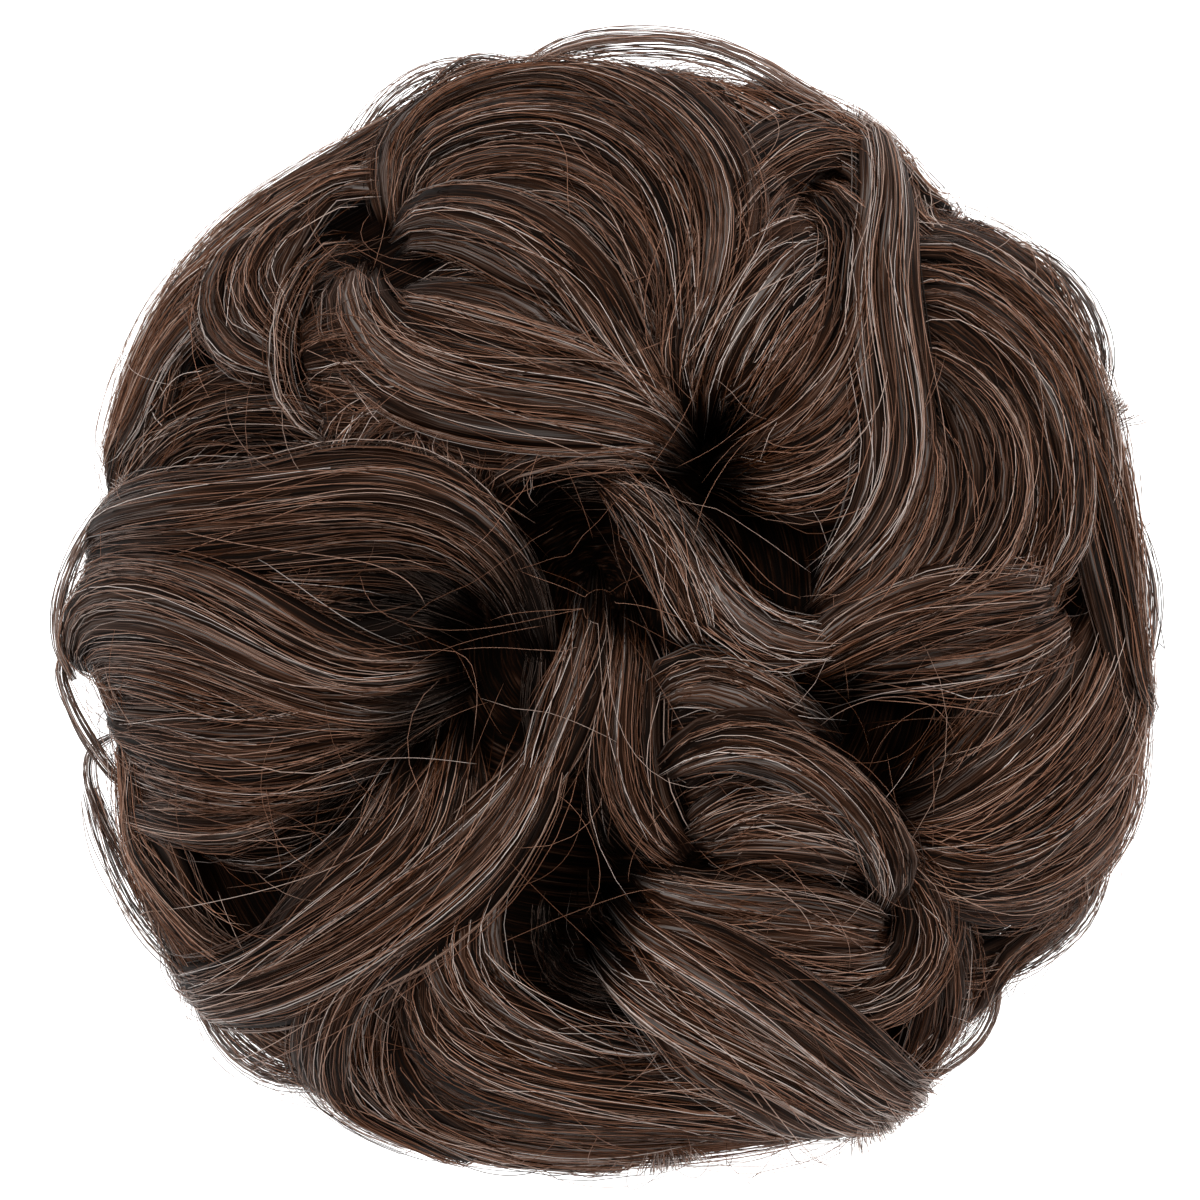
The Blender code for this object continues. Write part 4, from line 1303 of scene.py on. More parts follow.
@dataclass
class LockBodies:
    """The combed bodies of a group of locks, joined into one mesh of closed tapering tubes."""

    name: str
    courses: list[Course]
    around: int = 10
    station_spacing: float = 4.4
    fewest_stations: int = 8
    ridge: float = 0.16
    hollow_reach: float = 0.80
    ridge_width: float = 0.38
    twist: float = CLUMP_TWIST
    map_gap: float = 0.5

    def build(self, material: bpy.types.Material, crown: bool) -> bpy.types.Object:
        """Makes the bodies.

        Args:
            material: The streaked lock material.
            crown: True where hollows between the locks are to go dark.

        Returns:
            The finished piece.
        """
        sheet = GridSheet(self.name, ("lock_mm", "OFBake"), True)
        cells = math.ceil(math.sqrt(len(self.courses)))
        for index, course in enumerate(self.courses):
            along = max(self.fewest_stations, int(round(course.length / self.station_spacing)))
            # an oval as flat as a lock's is about three quarters as far round as a circle
            girth = math.pi * course.half.max() * OVAL_ROUND * MM
            length = course.length * MM
            corner = (index % cells + MAP_MARGIN) / cells, (index // cells + MAP_MARGIN) / cells
            side = (1 - 2 * MAP_MARGIN) / cells
            charts = (
                partial(charted, (0.0, index * self.map_gap), (girth, length)),
                partial(charted, corner, (side, side)),
            )
            sheet.draw(self.around, along, partial(self.shape, course, crown), charts)
        return sheet.finish(material, "curled_fibre", HAIR_NODE)

    def shape(
        self, course: Course, crown: bool, u: np.ndarray, v: np.ndarray
    ) -> tuple[np.ndarray, np.ndarray]:
        """Places the body's grid: u goes round the lock, and v along it.

        Args:
            course: The lock's course.
            crown: True where hollows go dark.
            u: 0 to 1 round the section, from the middle of its underside.
            v: 0 to 1 along the lock.

        Returns:
            The points, and their fibre values: tone, shade, place along the lock and one.
        """
        angle = u * math.tau - math.pi / 2
        combed = (angle - self.twist * (v - 0.5))[:, None] - course.clumps[None, :]
        nearest = np.abs(combed).min(axis=1)
        gap = math.pi / len(course.clumps)
        ridge = np.exp(-((nearest / (self.ridge_width * gap)) ** 2)) * (np.sin(angle) > -0.2)
        close = np.clip(np.minimum(v, 1 - v) * 12.0, 0.0, 1.0) ** 0.5
        points = course.around(v, angle, (self.hollow_reach + self.ridge * ridge) * close)
        points[:, 2] = np.maximum(points[:, 2], FOOT_HEIGHT)
        shade = shade_of(points) if crown else np.ones(len(points))
        # painted shade: a body lies under its strands and is darkened nearly to black, less on its clumps'
        # ridges and on its top than on its sides
        shade = shade * (0.07 + 0.17 * ridge) * (0.4 + 0.6 * np.clip(np.sin(angle), 0.0, 1.0))
        return points, np.stack((self.body_tone(course, u), shade, v, np.ones_like(v)), axis=-1)

    def body_tone(self, course: Course, u: np.ndarray) -> np.ndarray:
        """Gives each vertex the tone of its nearest clump, a little darker than its strands as painted
        shade.
        """
        angle = u * math.tau - math.pi / 2
        nearest = np.abs(angle[:, None] - course.clumps[None, :]).argmin(axis=1)
        return np.clip(course.clump_tones[nearest] * 0.85 - 0.04, 0.0, 1.0)


@dataclass(frozen=True)
class StrandComb:
    """Lays strands on a lock: combed in clumps, loose in the lock, or straying over its neighbours."""

    per_mm: float = 7.8
    stray_per_mm: float = 2.6
    station_spacing: float = 4.9
    fewest_stations: int = 8
    most_stations: int = 26
    thin: float = 0.048
    thick: float = 0.092
    stray_thin: float = 0.04
    stray_thick: float = 0.07
    stray_clearance: float = 0.25
    loose_share: float = 0.30
    crown: bool = True

    def stations(self, course: Course) -> int:
        """Says how many stations a strand of this lock has."""
        wanted = course.length / self.station_spacing
        return int(np.clip(wanted, self.fewest_stations, self.most_stations)) | 1

    def comb(
        self, course: Course, top: StrandBatch, under: StrandBatch, density: float = 1.0
    ) -> None:
        """Adds a lock's combed strands.

        Args:
            course: The lock's course.
            top: The batch that gets the strands that lie on top.
            under: The batch that gets the shaded strands between and below them.
            density: How full the lock is, beside a full one.
        """
        rng = np.random.default_rng(course.seed + 7919)
        count = max(6, int(round(self.per_mm * 2 * course.half.max() * density)))
        stations = self.stations(course)
        clump = rng.integers(0, len(course.clumps), count)
        gap = math.pi / len(course.clumps)
        offset = rng.normal(0.0, 0.46, count)
        loose = rng.random(count) < self.loose_share
        start = rng.uniform(0.0, 0.05, count) + np.where(loose, rng.uniform(0.0, 0.3, count), 0.0)
        end = 1.0 - rng.uniform(0.0, 0.55, count) ** 3
        t = start[:, None] + (end - start)[:, None] * np.linspace(0.0, 1.0, stations)[None, :]
        amount = np.where(loose, rng.uniform(0.4, 1.1, count), rng.uniform(0.05, 0.6, count) ** 1.5)
        sway = blend_noise(rng, (count, stations), 3) * amount[:, None]
        angle = (course.clumps[clump] + offset * gap)[:, None] + CLUMP_TWIST * (t - 0.5) + sway * 0.8
        height = rng.uniform(-0.14, 0.12, count) - 0.05 * np.abs(offset)
        lifted = np.abs(blend_noise(rng, (count, stations), 2)) * np.where(loose, 0.5, 0.05)[:, None]
        splay = np.abs(rng.normal(0.0, 0.25, count))[:, None] * t**4
        path = course.around(t, angle, 1.0 + height[:, None] + lifted + splay)
        _, outward, across, _ = course.at(t)
        out = unit(outward * np.sin(angle)[..., None] + across * np.cos(angle)[..., None])
        radius = rng.uniform(self.thin, self.thick, count) * np.where(loose, 0.75, 1.0)
        own_tone = rng.choice(FIBRE_PLACES, count, p=course.tone.value)
        mixed = course.clump_tones[clump] * 0.2 + own_tone * 0.8
        tone = np.clip(mixed + rng.normal(0.0, 0.15, count), 0.0, 1.0)
        # painted shade: strands that lie low in the lock are darkened, and so are those on its edges, more
        # than those on its top
        open_share = np.where(loose, 1.0, np.clip(0.55 + 5.0 * height, 0.06, 1.0))
        shade = open_share[:, None] * (0.25 + 0.75 * np.clip(np.sin(angle), 0.0, 1.0) ** 0.8)
        if self.crown:
            shade = shade * shade_of(path)
        on_top = loose | (height > -0.02)
        # the strands below are half hidden, so they have half as many stations
        for batch, lies, skip in ((top, on_top, 1), (under, ~on_top, 2)):
            if lies.any():
                kept = path[lies][:, ::skip], out[lies][:, ::skip]
                batch.add(*kept, radius[lies], tone[lies], shade[lies][:, ::skip])

    def stray(self, course: Course, batch: StrandBatch, density: float = 1.0) -> None:
        """Adds strands that leave the lock's own line and arch across it and its neighbours.

        Args:
            course: The lock's course.
            batch: The batch that gets the strands.
            density: How many there are, beside a full lock.
        """
        rng = np.random.default_rng(course.seed + 15013)
        width = course.half.max()
        count = max(3, int(round(self.stray_per_mm * 2 * width * density)))
        stations = self.stations(course)
        share = np.linspace(0.0, 1.0, stations)[None, :]
        start = rng.uniform(0.0, 0.4, (count, 1))
        end = rng.uniform(0.6, 1.0, (count, 1))
        centre, outward, across, _ = course.at(start + (end - start) * share)
        first = rng.uniform(-1.5, 1.5, (count, 1))
        side = first + rng.normal(0.0, 1.2, (count, 1)) * share
        side = side + 0.4 * blend_noise(rng, (count, stations), 2)
        arch = np.sqrt(np.clip(1 - (0.7 * side) ** 2, 0.0, 1.0))
        spring = rng.uniform(0.0, 1.3, (count, 1)) ** 2 * np.sin(math.pi * share)
        rise = width * course.thickness * arch + self.stray_clearance + spring
        path = centre + across * (side * width)[..., None] + outward * rise[..., None]
        shade = shade_of(path) ** 0.6 if self.crown else np.ones((count, stations))
        radius = rng.uniform(self.stray_thin, self.stray_thick, count)
        batch.add(path, outward, radius, rng.uniform(0.2, 0.95, count), shade)


@dataclass(frozen=True)
class LooseRow:
    """A kind of loose hair: how many, how long, how curled, and how far it stands off."""

    name: str
    count: int
    length_low: float
    length_high: float
    curl_low: float
    curl_high: float
    lift_low: float
    lift_high: float
    arc_low: float
    arc_high: float
    radius: float


LOOSE_HAIR = (
    LooseRow("crossing_hairs", 240, 16.0, 46.0, 11.0, 34.0, 2.5, 6.0, 0.12, 0.80, 0.036),
    LooseRow("rim_hairs", 320, 12.0, 40.0, 10.0, 44.0, 2.0, 6.5, 0.82, 1.12, 0.045),
    LooseRow("side_hairs", 120, 12.0, 36.0, 12.0, 50.0, 1.5, 4.0, 1.05, 1.45, 0.05),
)


@dataclass
class LooseHair:
    """Single hairs that have sprung out of the locks and arch over them or past the outline."""

    name: str = "loose_hairs"
    stations: int = 15
    least_radius: float = 12.0
    last_arc: float = 1.6
    seed: int = 4711

    def build(self, material: bpy.types.Material) -> bpy.types.Object:
        """Makes all the loose hairs as one piece."""
        batch = StrandBatch(self.name)
        for index, row in enumerate(LOOSE_HAIR):
            self.scatter(row, batch, np.random.default_rng(self.seed + index))
        return batch.build(material)

    def scatter(self, row: LooseRow, batch: StrandBatch, rng: np.random.Generator) -> None:
        """Adds one kind of loose hair to a batch.

        Args:
            row: The kind of hair.
            batch: The batch that gets the hairs.
            rng: The seeded source of chance.
        """
        count, stations = row.count, self.stations
        t = np.linspace(0.0, 1.0, stations)[None, :]
        turn = rng.uniform(0.0, math.tau, (count, 1))
        # more hairs start far out, because there is more surface there
        share = rng.uniform(row.arc_low**2, row.arc_high**2, (count, 1))
        arc = np.sqrt(share)
        radius = np.maximum(FORM.outline(turn) * np.sin(arc * math.pi / 2), self.least_radius)
        heading = rng.uniform(0.0, math.tau, (count, 1))
        length = rng.uniform(row.length_low, row.length_high, (count, 1))
        curl = rng.uniform(row.curl_low, row.curl_high, (count, 1)) * rng.choice((-1.0, 1.0), (count, 1))
        angle = heading + length * t / curl
        step = length / (stations - 1)
        outward = np.cumsum(np.cos(angle) * step, axis=1)
        sideways = np.cumsum(np.sin(angle) * step, axis=1)
        turn = turn + sideways / radius
        arc = np.clip(arc + outward / (FORM.outline(turn) * math.pi / 2), 0.02, self.last_arc)
        lift = rng.uniform(row.lift_low, row.lift_high, (count, 1))
        rise = lift * np.sin(math.pi * np.clip(t * 0.8 + 0.1, 0.0, 1.0)) ** 0.7
        normal = FORM.normal(turn, arc, False)
        path = FORM.skin(turn, arc, FORM.skin_inset, False) + normal * rise[..., None]
        tone = rng.uniform(0.35, 0.92, count)
        batch.add(path, normal, np.full(count, row.radius), tone, np.ones((count, stations)))


@dataclass(frozen=True)
class RimLoop:
    """A thin lock that stands off the rim with daylight behind it, charted over the photograph."""

    name: str
    width: float
    height: float
    count: int
    tone: Tone
    path: tuple


RIM_LOOPS = (
    RimLoop("top_arch", 3.6, 30.0, 52, Tone.AUBURN, (
        (500, 92), (532, 72), (562, 56), (602, 47), (650, 45), (702, 51), (750, 68), (795, 94),
        (835, 118), (850, 150)
    )),
    RimLoop("top_left_arch", 2.4, 26.0, 28, Tone.CHESTNUT, (
        (420, 110), (442, 80), (470, 64), (505, 66), (545, 79), (590, 98)
    )),
    RimLoop("top_left_mesh", 4.0, 22.0, 40, Tone.AUBURN, (
        (338, 168), (362, 138), (388, 108), (420, 86), (455, 72), (490, 72)
    )),
    RimLoop("right_arch", 3.2, 27.0, 44, Tone.DEEP_AND_SHADE, (
        (985, 262), (1015, 252), (1048, 268), (1076, 298), (1093, 335), (1098, 370), (1090, 405),
        (1070, 440)
    )),
    RimLoop("right_arch_inner", 1.6, 31.0, 16, Tone.CHESTNUT, (
        (1015, 262), (1040, 290), (1058, 330), (1075, 370), (1084, 405), (1076, 445)
    )),
    RimLoop("right_cheek", 3.0, 24.0, 44, Tone.CHESTNUT, (
        (1095, 470), (1112, 492), (1130, 520), (1142, 558), (1148, 600), (1144, 645), (1134, 680),
        (1110, 710)
    )),
    RimLoop("right_low_wave", 2.2, 20.0, 26, Tone.CHESTNUT, (
        (1128, 640), (1141, 662), (1142, 692), (1134, 722), (1122, 745), (1100, 770)
    )),
    RimLoop("right_lower_bulge", 3.4, 22.0, 44, Tone.CHESTNUT, (
        (1110, 720), (1128, 745), (1134, 785), (1126, 822), (1108, 858), (1085, 890), (1060, 910)
    )),
    RimLoop("low_right_sweep", 4.2, 26.0, 60, Tone.AUBURN, (
        (1104, 850), (1092, 888), (1070, 922), (1035, 950), (1000, 966), (960, 972), (925, 962)
    )),
    RimLoop("low_right_under", 1.8, 18.0, 24, Tone.AUBURN, (
        (985, 950), (997, 985), (992, 1018), (975, 1045), (945, 1068), (912, 1085), (885, 1092)
    )),
    RimLoop("low_left_bulge", 3.2, 22.0, 44, Tone.CHESTNUT, (
        (185, 965), (200, 995), (215, 1025), (240, 1054), (275, 1074), (315, 1080), (350, 1092),
        (385, 1100)
    )),
    RimLoop("lower_left_mesh", 4.5, 20.0, 48, Tone.CHESTNUT, (
        (88, 790), (100, 830), (116, 868), (136, 905), (160, 938), (190, 968), (215, 985)
    )),
    RimLoop("left_low_arch", 1.6, 23.0, 22, Tone.AUBURN, (
        (115, 735), (95, 748), (89, 772), (96, 803), (112, 840), (135, 870)
    )),
    RimLoop("left_edge", 2.0, 26.0, 26, Tone.CHESTNUT, (
        (75, 640), (62, 668), (70, 700), (88, 735), (112, 770), (140, 795)
    )),
    RimLoop("left_top_arch", 1.8, 28.0, 28, Tone.ASH_AND_SHEEN, (
        (130, 480), (110, 500), (88, 532), (70, 570), (60, 608), (60, 648), (75, 680)
    )),
)


@dataclass
class RimLoops:
    """The thin loops of hair that make the bun's outline wavy."""

    name: str = "rim_loops"
    stations: int = 18
    thin: float = 0.06
    thick: float = 0.10
    seed: int = 613

    def build(self, material: bpy.types.Material) -> bpy.types.Object:
        """Makes every loop as one piece."""
        rng = np.random.default_rng(self.seed)
        batch = StrandBatch(self.name)
        for row in RIM_LOOPS:
            self.lay(row, batch, rng)
        return batch.build(material)

    def lay(self, row: RimLoop, batch: StrandBatch, rng: np.random.Generator) -> None:
        """Adds one loop's strands.

        Args:
            row: The loop.
            batch: The batch that gets the strands.
            rng: The seeded source of chance.
        """
        count, stations = row.count, self.stations
        east, north = (np.array(row.path, dtype=float).T - np.array(PLAN_CENTRE)[:, None]) * PLAN_UNIT
        line = spline(np.stack((east, -north), axis=-1), stations)
        tangent = unit(np.gradient(line, axis=0))
        aside = np.stack((-tangent[:, 1], tangent[:, 0]), axis=-1)
        share = np.linspace(0.0, 1.0, stations)[None, :]
        spread = row.width / 2 * (0.5 + 0.5 * np.sin(math.pi * share))
        offset = rng.uniform(-1.0, 1.0, (count, 1)) + 0.4 * blend_noise(rng, (count, stations), 3)
        plan = line + aside * (offset * spread)[..., None]
        depth = rng.uniform(-1.0, 1.0, (count, 1)) + 0.3 * blend_noise(rng, (count, stations), 3)
        height = row.height + depth * row.width * 0.8 + 1.5 * np.sin(math.pi * share)
        path = np.concatenate((plan, height[..., None]), axis=-1)
        out = np.zeros_like(path)
        out[..., 2] = 1.0
        tone = rng.choice(FIBRE_PLACES, count, p=row.tone.value) + rng.normal(0.0, 0.1, count)
        shade = np.broadcast_to(rng.uniform(0.5, 1.0, (count, 1)), (count, stations))
        radius = rng.uniform(self.thin, self.thick, count)
        batch.add(path, out, radius, np.clip(tone, 0.0, 1.0), shade)


@dataclass(frozen=True)
class CutEnd:
    """Where a lock ends in a blunt frayed cut, with its place and its heading in the photograph."""

    name: str
    x: float
    y: float
    heading: float
    spread: float
    lift: float
    count: int
    length: float


CUT_ENDS = (
    CutEnd("low_right_cut", 886, 1098, -50.0, 24.0, 3.6, 260, 9.0),
    CutEnd("right_cut", 1106, 404, 50.0, 20.0, 1.5, 90, 4.5),
    CutEnd("bottom_cut", 672, 1152, -75.0, 30.0, 1.5, 110, 5.0),
    CutEnd("left_cut", 128, 516, 168.0, 30.0, 2.0, 80, 7.0),
    CutEnd("top_cut", 872, 136, 50.0, 26.0, 1.5, 150, 4.5),
    CutEnd("top_right_cut", 950, 222, 62.0, 26.0, 1.0, 90, 4.5),
)


@dataclass
class CutEnds:
    """The frayed ends of cut locks, painted pale and cool at their tips: partly the fibre's own ash tone,
    partly a painted highlight.
    """

    name: str = "cut_ends"
    stations: int = 9
    thin: float = 0.05
    thick: float = 0.085
    root_spread: float = 3.0
    # mostly ash fibre, whose pale cool colour is partly a painted highlight on the cut tips
    tones: tuple = (0.20, 0.15, 0.10, 0.55)
    seed: int = 977

    def build(self, material: bpy.types.Material) -> bpy.types.Object:
        """Makes every cut end as one piece."""
        rng = np.random.default_rng(self.seed)
        batch = StrandBatch(self.name)
        for row in CUT_ENDS:
            self.fray(row, batch, rng)
        return batch.build(material)

    def fray(self, row: CutEnd, batch: StrandBatch, rng: np.random.Generator) -> None:
        """Adds one cut end: short strands that start together and fan out.

        Args:
            row: The cut end.
            batch: The batch that gets the strands.
            rng: The seeded source of chance.
        """
        t = np.linspace(0.0, 1.0, self.stations)[None, :]
        heading = math.radians(row.heading)
        ahead = np.array((math.cos(heading), math.sin(heading)))
        aside = np.array((-ahead[1], ahead[0]))
        fan = rng.normal(0.0, 0.5, (row.count, 1))
        start = fan * self.root_spread
        length = row.length * rng.uniform(0.65, 1.1, (row.count, 1))
        angle = np.radians(row.spread) * fan + rng.normal(0.0, 0.16, (row.count, 1))
        bend = rng.normal(0.0, 0.35, (row.count, 1))
        forward = length * (t - 0.55) * np.cos(angle)
        sideways = start + length * (t * np.sin(angle) * np.clip(t * 1.4, 0, 1) + 0.2 * bend * t**2)
        east = (row.x - PLAN_CENTRE[0]) * PLAN_UNIT + ahead[0] * forward + aside[0] * sideways
        north = (PLAN_CENTRE[1] - row.y) * PLAN_UNIT + ahead[1] * forward + aside[1] * sideways
        middle = np.full((1, 1), math.atan2(PLAN_CENTRE[1] - row.y, row.x - PLAN_CENTRE[0]))
        _, arc = FORM.from_plan(np.full((1, 1), row.x), np.full((1, 1), row.y))
        base = FORM.skin(middle, arc, FORM.skin_inset)
        rise = base[..., 2] + row.lift + rng.uniform(-1.3, 1.3, (row.count, 1)) - 1.2 * t**2
        path = np.stack((east, north, np.broadcast_to(rise, east.shape)), axis=-1)
        out = np.broadcast_to(FORM.normal(middle, arc), path.shape)
        tone = rng.choice(FIBRE_PLACES, row.count, p=self.tones)
        # painted shade darkens each strand towards its root, so a cut lock is dark between its strands, and
        # pale only where they end
        shade = np.broadcast_to(0.3 + 0.7 * t**1.5, east.shape)
        batch.add(path, out, rng.uniform(self.thin, self.thick, row.count), tone, shade)


@dataclass
class HairHeart:
    """The mass of short hair under the locks, closed, with the hollow for the wearer's hair. It is painted
    near black, as the painted shade of the hollows between the locks where it shows.
    """

    name: str = "hair_heart"
    turns: int = 96
    outer_rows: int = 46
    inset: float = 3.5
    rim_inset: float = 0.9
    seat_radius: float = 29.6
    seat_top: float = 7.6
    hollow_radius: float = 21.0
    wall_top: float = 28.0
    hollow_top: float = 38.0
    last_arc: float = 1.70
    map_drop: float = 0.20
    map_girth: float = 0.45
    # a near-black tone and a shade of 0.10: painted shade, for the hollows where the heart shows between
    # the locks
    fibre: tuple = (0.14, 0.10, 0.5, 1.0)

    def inner_profile(self) -> list[tuple[float, float]]:
        """Lists the radius and height of the seat and the hollow, from the foot to the middle."""
        return [
            (self.seat_radius, 3.0),
            (self.seat_radius, self.seat_top),
            (self.hollow_radius, self.seat_top),
            (self.hollow_radius, self.wall_top * 0.6),
            (self.hollow_radius, self.wall_top),
            (self.hollow_radius * 0.9, self.wall_top + 4.0),
            (self.hollow_radius * 0.55, self.hollow_top - 2.0),
            (0.0, self.hollow_top),
        ]

    def build(self, material: bpy.types.Material) -> bpy.types.Object:
        """Makes the heart as a grid drawn round the outside and up into the hollow.

        Args:
            material: The streaked lock material.

        Returns:
            The finished piece.
        """
        sheet = GridSheet(self.name, ("lock_mm",), True)
        last = self.outer_rows + len(self.inner_profile()) - 1
        sheet.draw(self.turns, last, self.shape, (self.chart,))
        return sheet.finish(material, "curled_fibre", HAIR_NODE)

    def chart(self, u: float, v: float) -> tuple[float, float]:
        """Maps a corner in metres: from the crown down and up into the hollow, then round."""
        return v * self.map_drop, u * self.map_girth

    def shape(self, u: np.ndarray, v: np.ndarray) -> tuple[np.ndarray, np.ndarray]:
        """Places the grid: u goes round, and v down the outside and up into the hollow.

        Args:
            u: 0 to 1 round the heart.
            v: 0 at the crown to 1 at the top of the hollow.

        Returns:
            The points, and their fibre values.
        """
        inner = np.array(self.inner_profile())
        turn = u * math.tau
        row = np.rint(v * (self.outer_rows + len(inner) - 1)).astype(int)
        arc = np.clip(row / (self.outer_rows - 1), 0.0, 1.0) * self.last_arc
        inset = self.inset + self.rim_inset * np.exp(-(((arc - 1.0) / 0.3) ** 2))
        profile = inner[np.clip(row - self.outer_rows, 0, len(inner) - 1)]
        hollow = np.stack(
            (profile[:, 0] * np.cos(turn), profile[:, 0] * np.sin(turn), profile[:, 1]), axis=-1
        )
        outer = FORM.skin(turn, arc, inset)
        points = np.where((row >= self.outer_rows)[:, None], hollow, outer)
        return points, np.broadcast_to(self.fibre, (len(points), 4))


@dataclass
class HollowHair:
    """Short strands that curve round the wall of the hollow, seen from below through the band."""

    name: str = "hollow_hair"
    count: int = 420
    stations: int = 10
    wall_radius: float = 20.6
    foot: float = 9.0
    wall_height: float = 17.0
    roof_height: float = 10.5
    thin: float = 0.10
    thick: float = 0.15
    shade: float = 0.8
    seed: int = 311

    def build(self, material: bpy.types.Material) -> bpy.types.Object:
        """Makes the strands as one piece."""
        rng = np.random.default_rng(self.seed)
        t = np.linspace(0.0, 1.0, self.stations)[None, :]
        turn = rng.uniform(0.0, math.tau, (self.count, 1)) + rng.uniform(0.5, 1.3, (self.count, 1)) * t
        start = rng.uniform(0.0, 0.85, (self.count, 1))
        climb = np.clip(start + rng.uniform(-0.1, 0.5, (self.count, 1)) * t, 0.0, 1.0)
        # the wall goes straight up and then closes in as a quarter of a circle
        bend = np.clip((climb - 0.5) / 0.5, 0.0, 1.0) * math.pi / 2 * 0.93
        radius = self.wall_radius * np.cos(bend) - rng.uniform(0.0, 0.5, (self.count, 1))
        straight = self.wall_height * np.clip(climb / 0.5, 0.0, 1.0)
        height = self.foot + straight + self.roof_height * np.sin(bend)
        path = np.stack((radius * np.cos(turn), radius * np.sin(turn), height), axis=-1)
        inward = np.stack((-np.cos(turn), -np.sin(turn), -0.3 + 0 * turn), axis=-1)
        batch = StrandBatch(self.name)
        tone = rng.uniform(0.05, 0.8, self.count)
        shade = np.full((self.count, self.stations), self.shade)
        radius = rng.uniform(self.thin, self.thick, self.count)
        batch.add(path, unit(inward), radius, tone, shade)
        return batch.build(material)


@dataclass
class ElasticBand:
    """The flat elastic that the locks are sewn to: a ring of ribbed ribbon, ruched where it is slack."""

    name: str = "ruched_elastic_band"
    inner_radius: float = 20.0
    width: float = 9.0
    height: float = 7.0
    girth: float = 28.0
    squareness: float = 0.55
    steps: int = 216
    around: int = 32
    ruches: int = 54
    ruche_depth: float = 0.35

    def build(self, material: bpy.types.Material) -> bpy.types.Object:
        """Makes the band as a closed ring with soft gathers.

        Args:
            material: The knitted elastic.

        Returns:
            The finished piece.
        """
        middle = self.inner_radius + self.width / 2
        sheet = GridSheet(self.name, ("lock_mm",), False)
        chart = partial(charted, (0.0, 0.0), (self.girth * MM, math.tau * middle * MM))
        sheet.draw(self.around, self.steps, self.shape, (chart,))
        return sheet.finish(material, "stretch_fabric", BAND_NODE)

    def shape(self, u: np.ndarray, v: np.ndarray) -> tuple[np.ndarray, np.ndarray]:
        """Places the grid: u goes round the band's section, and v round the ring.

        Args:
            u: 0 to 1 round the section.
            v: 0 to 1 round the ring.

        Returns:
            The points, and the same again, because the band has no fibre values.
        """
        # a squared-off oval section, flat where it lies on the surface
        across, up = (
            np.sign(wave) * np.abs(wave) ** self.squareness * side / 2
            for wave, side in (
                (np.cos(u * math.tau), self.width),
                (np.sin(u * math.tau), self.height),
            )
        )
        turn = v * math.tau
        fold = np.sin(turn * self.ruches + 1.2 * np.sin(turn * 7))
        draw = 1.0 - self.ruche_depth / (self.width / 2) * (0.5 - 0.5 * fold)
        radius = self.inner_radius + self.width / 2 + across * draw
        points = np.stack(
            (radius * np.cos(turn), radius * np.sin(turn), self.height / 2 + up * draw), axis=-1
        )
        return points, points


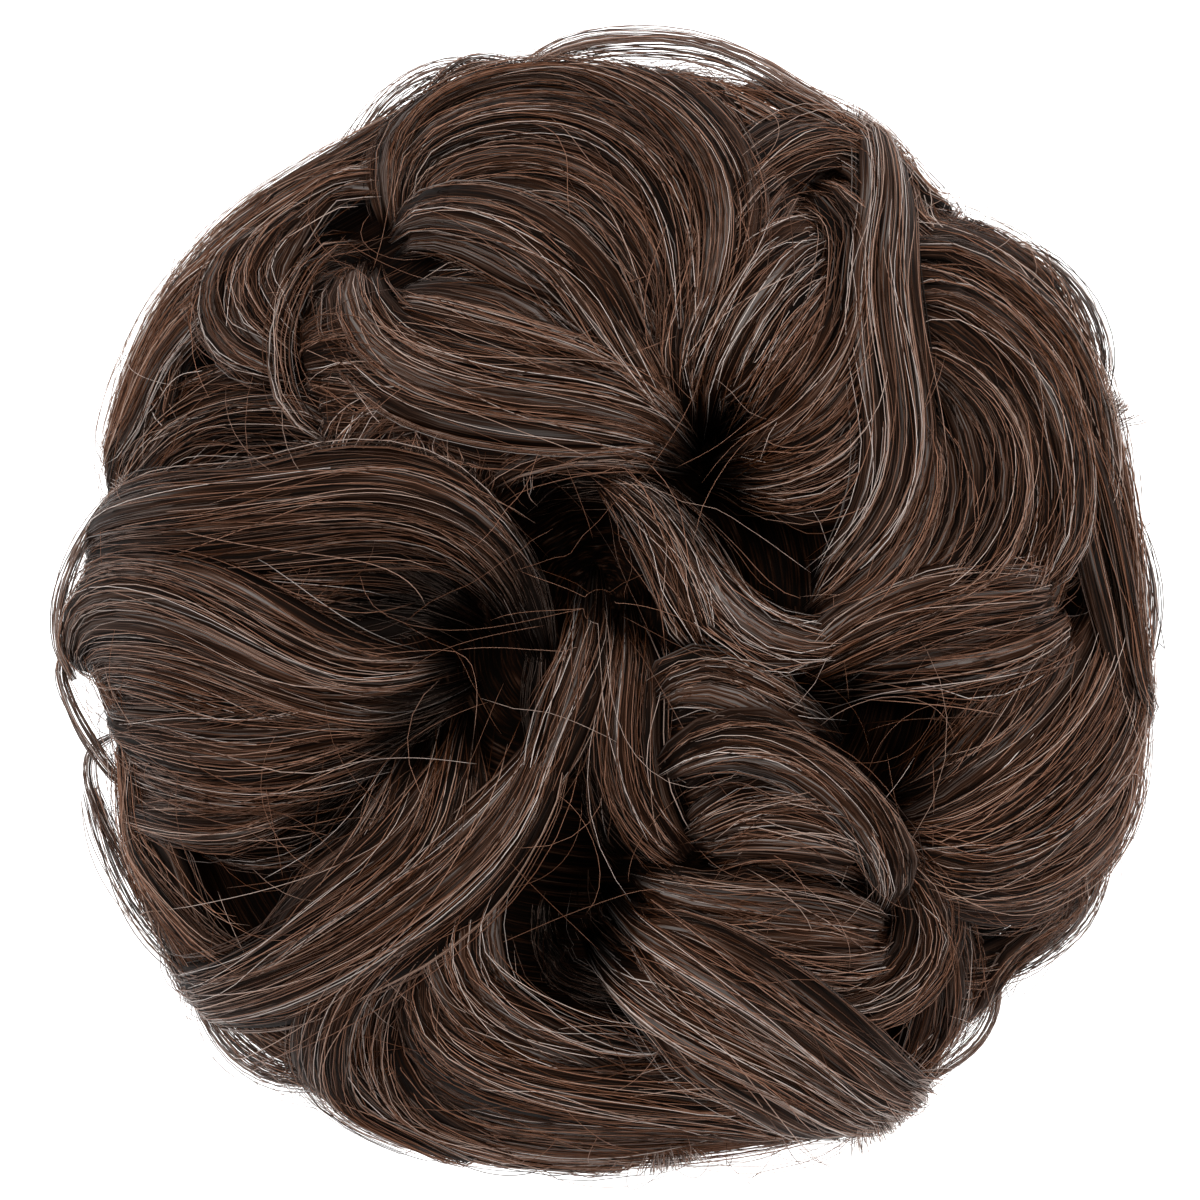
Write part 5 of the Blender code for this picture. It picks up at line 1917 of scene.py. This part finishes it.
@dataclass
class Studio:
    """A pale table, soft light from above, and a camera that looks straight down."""

    camera_height: float = 2.024
    focus_height: float = 0.024
    frame_pixels: float = 1200.0
    sensor: float = 36.0
    far_clip: float = 20.0
    table_size: float = 3.0
    table_glow: float = 0.75
    sky_strength: float = 0.06

    def build(self) -> None:
        """Makes the table, the lights, the world and the camera."""
        self.add_table()
        self.add_light("key_softbox", (-0.55, 0.6, 0.8), 0.4, 10.7)
        self.add_light("fill_softbox", (0.75, -0.5, 0.65), 0.4, 6.6)
        self.add_light("right_softbox", (0.7, 0.55, 0.6), 0.4, 6.9)
        self.add_light("left_softbox", (-0.75, -0.45, 0.6), 0.4, 4.8)
        self.add_light("top_softbox", (0.05, 0.1, 1.6), 0.5, 14.3)
        world = bpy.data.worlds.new("white_studio")
        world.use_nodes = True
        background = world.node_tree.nodes["Background"]
        background.inputs["Color"].default_value = (1.0, 1.0, 1.0, 1.0)
        background.inputs["Strength"].default_value = self.sky_strength
        bpy.context.scene.world = world
        bpy.context.scene.view_settings.view_transform = "Standard"
        self.add_camera()

    def add_table(self) -> None:
        """Lays a matt white table below the bun."""
        mesh = bmesh.new()
        bmesh.ops.create_grid(mesh, x_segments=1, y_segments=1, size=self.table_size / 2)
        data = bpy.data.meshes.new("table")
        mesh.to_mesh(data)
        mesh.free()
        material = bpy.data.materials.new("matt_white_table")
        material.use_nodes = True
        shader = material.node_tree.nodes["Principled BSDF"]
        shader.inputs["Base Color"].default_value = linear("#f8f8f8")
        shader.inputs["Roughness"].default_value = 0.9
        shader.inputs["Specular IOR Level"].default_value = 0.1
        # the table glows faintly, a painted glow that keeps it evenly white and lights the bun from below
        shader.inputs["Emission Color"].default_value = (1.0, 1.0, 1.0, 1.0)
        shader.inputs["Emission Strength"].default_value = self.table_glow
        data.materials.append(material)
        table = bpy.data.objects.new("table", data)
        bpy.context.scene.collection.objects.link(table)

    def add_light(self, name: str, place: tuple, size: float, power: float) -> None:
        """Adds a square softbox that faces the bun.

        Args:
            name: The light's name.
            place: Where it stands, in metres.
            size: Its side, in metres.
            power: Its power in watts.
        """
        data = bpy.data.lights.new(name, "AREA")
        data.shape = "SQUARE"
        data.size = size
        data.energy = power
        light = bpy.data.objects.new(name, data)
        light.location = place
        ray = light.location.copy()
        light.rotation_mode = "QUATERNION"
        light.rotation_quaternion = ray.to_track_quat("Z", "Y")
        bpy.context.scene.collection.objects.link(light)

    def add_camera(self) -> None:
        """Puts the camera over the photograph's middle, with a lens long enough to keep it flat."""
        data = bpy.data.cameras.new("camera")
        across = self.frame_pixels * PLAN_UNIT * MM
        middle = self.frame_pixels / 2
        data.sensor_width = self.sensor
        data.lens = self.sensor * (self.camera_height - self.focus_height) / across
        camera = bpy.data.objects.new("camera", data)
        camera.location = (
            (middle - PLAN_CENTRE[0]) * PLAN_UNIT * MM,
            (PLAN_CENTRE[1] - middle) * PLAN_UNIT * MM,
            self.camera_height,
        )
        data.clip_end = self.far_clip
        bpy.context.scene.collection.objects.link(camera)
        bpy.context.scene.camera = camera


@dataclass(frozen=True)
class Fibres:
    """The bun's four hair materials."""

    strands: bpy.types.Material
    shaded: bpy.types.Material
    locks: bpy.types.Material
    heart: bpy.types.Material


def build_crown(fibres: Fibres) -> None:
    """Builds each group of crown locks: their bodies, and the strands combed over them."""
    maker = CourseMaker()
    comb = StrandComb()
    for lobe_index, (lobe, rows) in enumerate(CROWN_LOCKS.items()):
        bodies = []
        top = StrandBatch(f"{lobe}_strands")
        under = StrandBatch(f"{lobe}_understrands")
        for index, row in enumerate(rows):
            seed = 10000 * lobe_index + 10 * index
            course = maker.crown(row, seed)
            comb.comb(course, top, under)
            comb.stray(course, top)
            if row.width <= LOOSE_LOOP_WIDTH:
                continue
            bodies.append(course)
            for side in (-1, 1):
                beside = maker.crown(row, seed + 2 + side, side * 0.58 * row.width, 1.0)
                bodies.append(beside)
                comb.comb(beside, top, under, 0.4)
        LockBodies(f"{lobe}_locks", bodies).build(fibres.locks, True)
        top.build(fibres.strands)
        under.build(fibres.shaded)


def build_sides(fibres: Fibres) -> None:
    """Builds the rings of locks round the sides and under the rim."""
    maker = CourseMaker()
    for ring_index, row in enumerate(SIDE_RINGS):
        comb = StrandComb(
            per_mm=5.6 if ring_index < 2 else 3.6,
            stray_per_mm=0.8,
            thin=0.07,
            thick=0.115,
            crown=False,
        )
        courses = [
            maker.ring(row, index, 50000 + 1000 * ring_index + index) for index in range(row.count)
        ]
        LockBodies(f"{row.name}_locks", courses).build(fibres.locks, False)
        top = StrandBatch(f"{row.name}_strands")
        under = StrandBatch(f"{row.name}_understrands")
        for course in courses:
            comb.comb(course, top, under)
            comb.stray(course, top)
        top.build(fibres.strands)
        under.build(fibres.shaded)


def main() -> None:
    """Builds the hairpiece and the studio, and logs each piece's triangle count."""
    logging.basicConfig(level=logging.INFO, format="%(message)s")
    finishes = (STRAND_FINISH, UNDER_FINISH, LOCK_FINISH, HEART_FINISH)
    fibres = Fibres(*(finish.build() for finish in finishes))
    Studio().build()
    HairHeart().build(fibres.heart)
    build_crown(fibres)
    build_sides(fibres)
    RimLoops().build(fibres.strands)
    LooseHair().build(fibres.strands)
    CutEnds().build(fibres.strands)
    HollowHair().build(fibres.shaded)
    ElasticBand().build(ElasticFinish().build())


if __name__ == "__main__":
    main()
